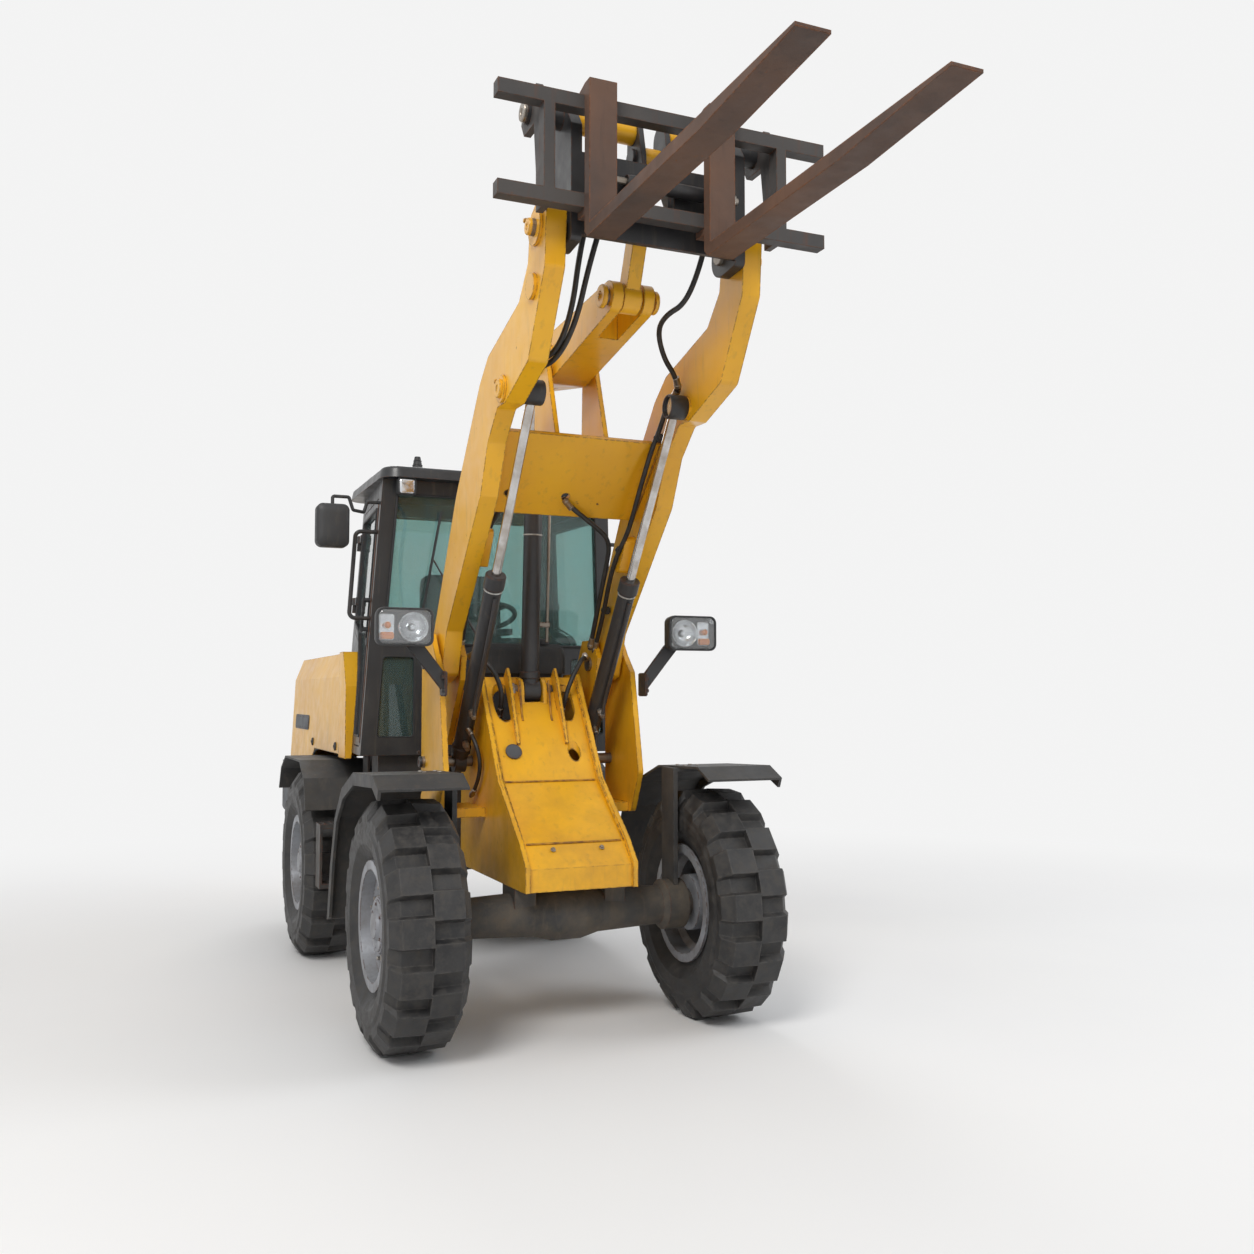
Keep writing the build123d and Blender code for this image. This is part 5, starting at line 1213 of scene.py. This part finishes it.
def on_front(outline, step=-0.002):
    """Outline laid on the cab's front face, moved back from it by a step."""
    return [(x, front_face(z) + step, z) for x, z in outline]


# %% Window seals
FRAME_EDGE = 0.07  # width of the cab's frame beside a pane
low_z, high_z = 1.620, 2.330
seal("windscreen_seal",
     on_front([(-cab_half(low_z) + FRAME_EDGE, low_z), (cab_half(low_z) - FRAME_EDGE, low_z),
               (cab_half(high_z) - FRAME_EDGE, high_z), (-cab_half(high_z) + FRAME_EDGE, high_z)]))
rear_face = HINGE_Y + 0.762
seal("rear_window_seal", [(x, rear_face - LEAN * max(0.0, z - WAIST) / LEAN_HEIGHT, z)
                          for x, z in ((-0.43, 1.69), (0.43, 1.69), (0.40, 2.33), (-0.40, 2.33))])
for side_name, side in SIDES:
    low_pane = [(side * (cab_half(1.175) - FRAME_EDGE), 1.175), (side * 0.400, 1.175),
                (side * 0.400, 1.560), (side * (cab_half(1.560) - FRAME_EDGE), 1.560)]
    seal(f"low_window_seal_{side_name}", on_front(low_pane, 0.004), radius=0.005)


# %% [markdown]
# ## Doors, wiper and mirror
#
# The doors are glass nearly from top to bottom, with a handle bar on two feet and rust down
# the right one's edge. The wiper rests across the windscreen. The mirror is a shallow
# moulding with a glass on its rear face. Each rides on the body that carries it, so a door's
# seal and handle swing with the door.

# %% Doors
def on_side(side, u, v, out=0.0):
    """Point on a cab side: u behind the hinge, v above the floor, out of the face."""
    z = CAB_FLOOR + v
    return Vector((side * (cab_half(z, u) + out), HINGE_Y + u, z))


HANDLE = 0.075  # handle and lock stand this far behind the hinge line
DOOR_PANE = [(0.105, 0.090), (0.300, 0.090), (0.330, 0.420), (0.450, 0.595), (0.640, 0.660),
             (0.612, 1.186), (0.082, 1.186), (0.118, 0.560)]
for side_name, side in SIDES:
    body = f"door_{side_name}"
    seal(f"door_seal_{side_name}", [on_side(side, u, v, 0.001) for u, v in DOOR_PANE], body, 0.006)
    bm = bmesh.new()
    for v in (0.600, 0.740):
        foot = on_side(side, HANDLE, v)
        turned(bm, [(0, 0.012), (0.030, 0.010), (0.032, 0)], foot, (side, 0, 0), 14)
    solid(bm, [(0.066, 0.585), (0.088, 0.585), (0.088, 0.755), (0.066, 0.755)], (0.026, 0.040),
          lambda u, v, out, side=side: on_side(side, u, v, out), 0.004)
    lock_at = on_side(side, HANDLE, 0.540)
    turned(bm, [(0, 0.020), (0.006, 0.020), (0.009, 0.016), (0.009, 0)], lock_at, (side, 0, 0), 20)
    piece(f"door_handle_{side_name}", bm, "black_plastic", body)
bm = bmesh.new()
solid(bm,
      [(0.064, 0.060), (0.080, 0.060), (0.058, 0.560), (0.040, 1.200), (0.024, 1.200),
       (0.042, 0.560)], (0.0005, 0.003), lambda u, v, out: on_side(-1, u, v, out), 0.0)
piece("door_edge_rust", bm, "rusty_steel", "door_right")

# %% Wiper
WIPER_HUB, WIPER_TIP = 1.600, 2.020  # heights on the windscreen
bm = bmesh.new()
hub = Vector((-0.060, front_face(WIPER_HUB) - 0.006, WIPER_HUB))
turned(bm, [(0, 0.020), (0.014, 0.018), (0.022, 0.010), (0.022, 0)], hub, (0, -1, 0), 20)
tip = Vector((-0.330, front_face(WIPER_TIP) - 0.022, WIPER_TIP))
arm_axis = tip - hub
turned(bm, [(0, 0.007), (arm_axis.length, 0.0045), (arm_axis.length + 0.002, 0)],
       hub + Vector((0, -0.020, 0)), arm_axis, 10)
piece("wiper_arm", bm, "black_metal", "rear_frame")
bm = bmesh.new()
blade = [Vector((-0.372, front_face(1.760) - 0.012, 1.760)),
         Vector((-0.292, front_face(2.260) - 0.012, 2.260))]
turned(bm,
       [(0, 0.0), (0, 0.0065), ((blade[1] - blade[0]).length, 0.0065),
        ((blade[1] - blade[0]).length, 0)], blade[0], blade[1] - blade[0], 8)
piece("wiper_blade", bm, "seal_rubber", "rear_frame")

# %% Mirror
MIRROR = (-0.810, 2.161)
bm = bmesh.new()
nested(bm, MIRROR, (0.128, 0.180), 0.022, HINGE_Y, ((1.0, -0.0295), (0.97, -0.0275)))
piece("mirror_face", bm, "mirror_glass", "rear_frame")
bm = bmesh.new()
nested(bm, MIRROR, (0.150, 0.202), 0.030, HINGE_Y,
       ((1.0, -0.079), (0.97, -0.088), (0.86, -0.096), (0.60, -0.101)))
piece("mirror_back", bm, "black_plastic", "rear_frame")

# %% [markdown]
# ## Work lamps and beacon
#
# Two square work lamps look ahead from under the roof, and a beacon stands on it. The lamps'
# shells have a hollow front, which the CAD blocks don't, so they replace them. The beacon's
# lens stays as the solid and only gets rings round it.

# %% Work lamps
WORK_LIGHT = (0.475, 2.360)
LAMP_SHELL = ((0.80, -0.050), (1.0, -0.066), (1.0, -0.122), (0.90, -0.124), (0.86, -0.112))
bm = bmesh.new()
lens = bmesh.new()
for side in (-1, 1):
    centre = (side * WORK_LIGHT[0], WORK_LIGHT[1])
    nested(bm, centre, (0.086, 0.084), 0.014, HINGE_Y, LAMP_SHELL)
    nested(lens, centre, (0.072, 0.070), 0.012, HINGE_Y,
           ((1.0, -0.1145), (0.98, -0.119), (0.80, -0.122)))
housing = piece("work_light_shells", bm, "black_plastic", "rear_frame")
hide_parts("work_lights")
piece("work_light_lenses", lens, "reflector", "rear_frame")

# %% Beacon
low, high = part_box("beacon")
beacon_foot = Vector(((low.x + high.x) / 2, (low.y + high.y) / 2, low.z))
bm = bmesh.new()
turned(bm, [(0, 0.048), (0.010, 0.048), (0.014, 0.042), (0.014, 0.035)], beacon_foot, (0, 0, 1), 28)
for z in (0.030, 0.052, 0.074):
    radius = 0.034 - 0.020 * z / 0.095
    turned(bm, [(z - 0.003, radius - 0.001), (z, radius + 0.003), (z + 0.003, radius - 0.001)],
           beacon_foot, (0, 0, 1), 28)
piece("beacon_rings", bm, "black_plastic", "rear_frame")
tell("Cab")

# %% [markdown]
# ## Hood
#
# The engine hood has a grille at the rear with dark mesh behind its slots, a blank plate, two
# latches and a seam on each side, and a rubber strip round its lower edge. A mesh texture
# with holes would do from afar, but thin crossed bars also hold up close by. The sides lean
# in a little, which `hood_side` follows.

# %% Grille mesh
HOOD_REAR = HINGE_Y + 2.335
BARS, BAR_STEP = 45, 0.015  # upright bars of the mesh
ROWS, ROW_STEP = 20, 0.0155
MESH_HALF = 0.330
bm = bmesh.new()
for n in range(BARS):
    x = -MESH_HALF + BAR_STEP * n
    block(bm, (x - 0.002, HOOD_REAR - 0.030, 1.120), (x + 0.002, HOOD_REAR - 0.026, 1.425), 0)
for n in range(ROWS):
    z = 1.125 + ROW_STEP * n
    block(bm, (-0.335, HOOD_REAR - 0.032, z - 0.002), (0.335, HOOD_REAR - 0.028, z + 0.002), 0)
piece("grille_mesh", bm, "black_metal", "engine_hood")

# %% Hood sides
def hood_side(side, y, z, out=0.0):
    """Point on the hood's side below its shoulder."""
    return Vector((side * (0.660 - 0.025 * (z - 0.970) / 0.500 + out), y, z))


PLATE = (HINGE_Y + 1.860, 1.215)
for side_name, side in SIDES:
    bm = bmesh.new()
    outline = rounded_outline(PLATE, (0.520, 0.086), 0.026)
    skin(bm, [[hood_side(side, y, z, out) for y, z in outline] for out in (-0.002, 0.004)])
    inner = rounded_outline(PLATE, (0.490, 0.060), 0.020)
    skin(bm, [[hood_side(side, y, z, out) for y, z in inner] for out in (0.003, 0.0055)])
    piece(f"hood_plate_{side_name}", bm, "dark_grey", "engine_hood")
    bm = bmesh.new()
    for d in (0.680, 1.420):
        at = hood_side(side, HINGE_Y + d, 1.110)
        turned(bm,
               [(-0.002, 0.022), (0.005, 0.022), (0.008, 0.018), (0.008, 0.008), (0.012, 0.006),
                (0.012, 0)], at, (side, 0, 0), 24)
    piece(f"hood_latches_{side_name}", bm, "black_plastic", "engine_hood")
    seam = [(0.568, 1.082), (0.568, 1.300), (0.568, 1.470)]
    line(f"hood_seam_{side_name}", [hood_side(side, HINGE_Y + d, z, 0.001) for d, z in seam],
         0.0045, "seal_rubber", "engine_hood")
    low_edge = [(0.575, 1.077), (1.000, 1.077), (1.345, 1.077), (1.425, 1.020), (1.500, 0.979),
                (1.900, 0.977), (2.270, 0.977)]
    line(f"hood_edge_{side_name}", [hood_side(side, HINGE_Y + d, z, -0.008) for d, z in low_edge],
         0.006, "seal_rubber", "engine_hood")


# %% [markdown]
# ## Steps, tail lamps and fenders
#
# The steps have round studs for grip, the tail lamps a bezel, and the front fenders four
# bolts each. They are small, but they repeat, and rows of them show the size of the machine.
# The studs are made in loops and gathered into one piece.

# %% Step studs
TREADS = (0.454, 0.744)  # heights of the two steps
ACROSS_STEP, ALONG_STEP = 6, 3  # studs on each
bm = bmesh.new()
for side in (-1, 1):
    for top in TREADS:
        for i in range(ACROSS_STEP):
            for j in range(ALONG_STEP):
                at = (side * (0.575 + 0.036 * i), HINGE_Y + 0.365 + 0.040 * j, top)
                turned(bm, [(-0.001, 0.008), (0.003, 0.006), (0.004, 0)], at, (0, 0, 1), 8)
piece("step_studs", bm, "black_metal", "rear_frame")

# %% Tail bezels and fender bolts
bm = bmesh.new()
for side in (-1, 1):
    nested(bm, (side * 0.530, 0.860), (0.136, 0.096), 0.014, HOOD_REAR,
           ((1.0, -0.002), (1.0, 0.006), (0.92, 0.0075), (0.90, -0.001)), False)
piece("tail_bezels", bm, "black_plastic", "rear_frame")
bm = bmesh.new()
for side in (-1, 1):
    for q in (-0.036, 0.036):
        bolt(bm, side_view(q, 1.066, side * 0.600), (0, 0, 1), 0.011)
        bolt(bm, side_view(q, 1.066, side * 0.540), (0, 0, 1), 0.011)
piece("fender_bolts", bm, "steel_fitting", "front_frame")
tell("Hood, steps and rear end")
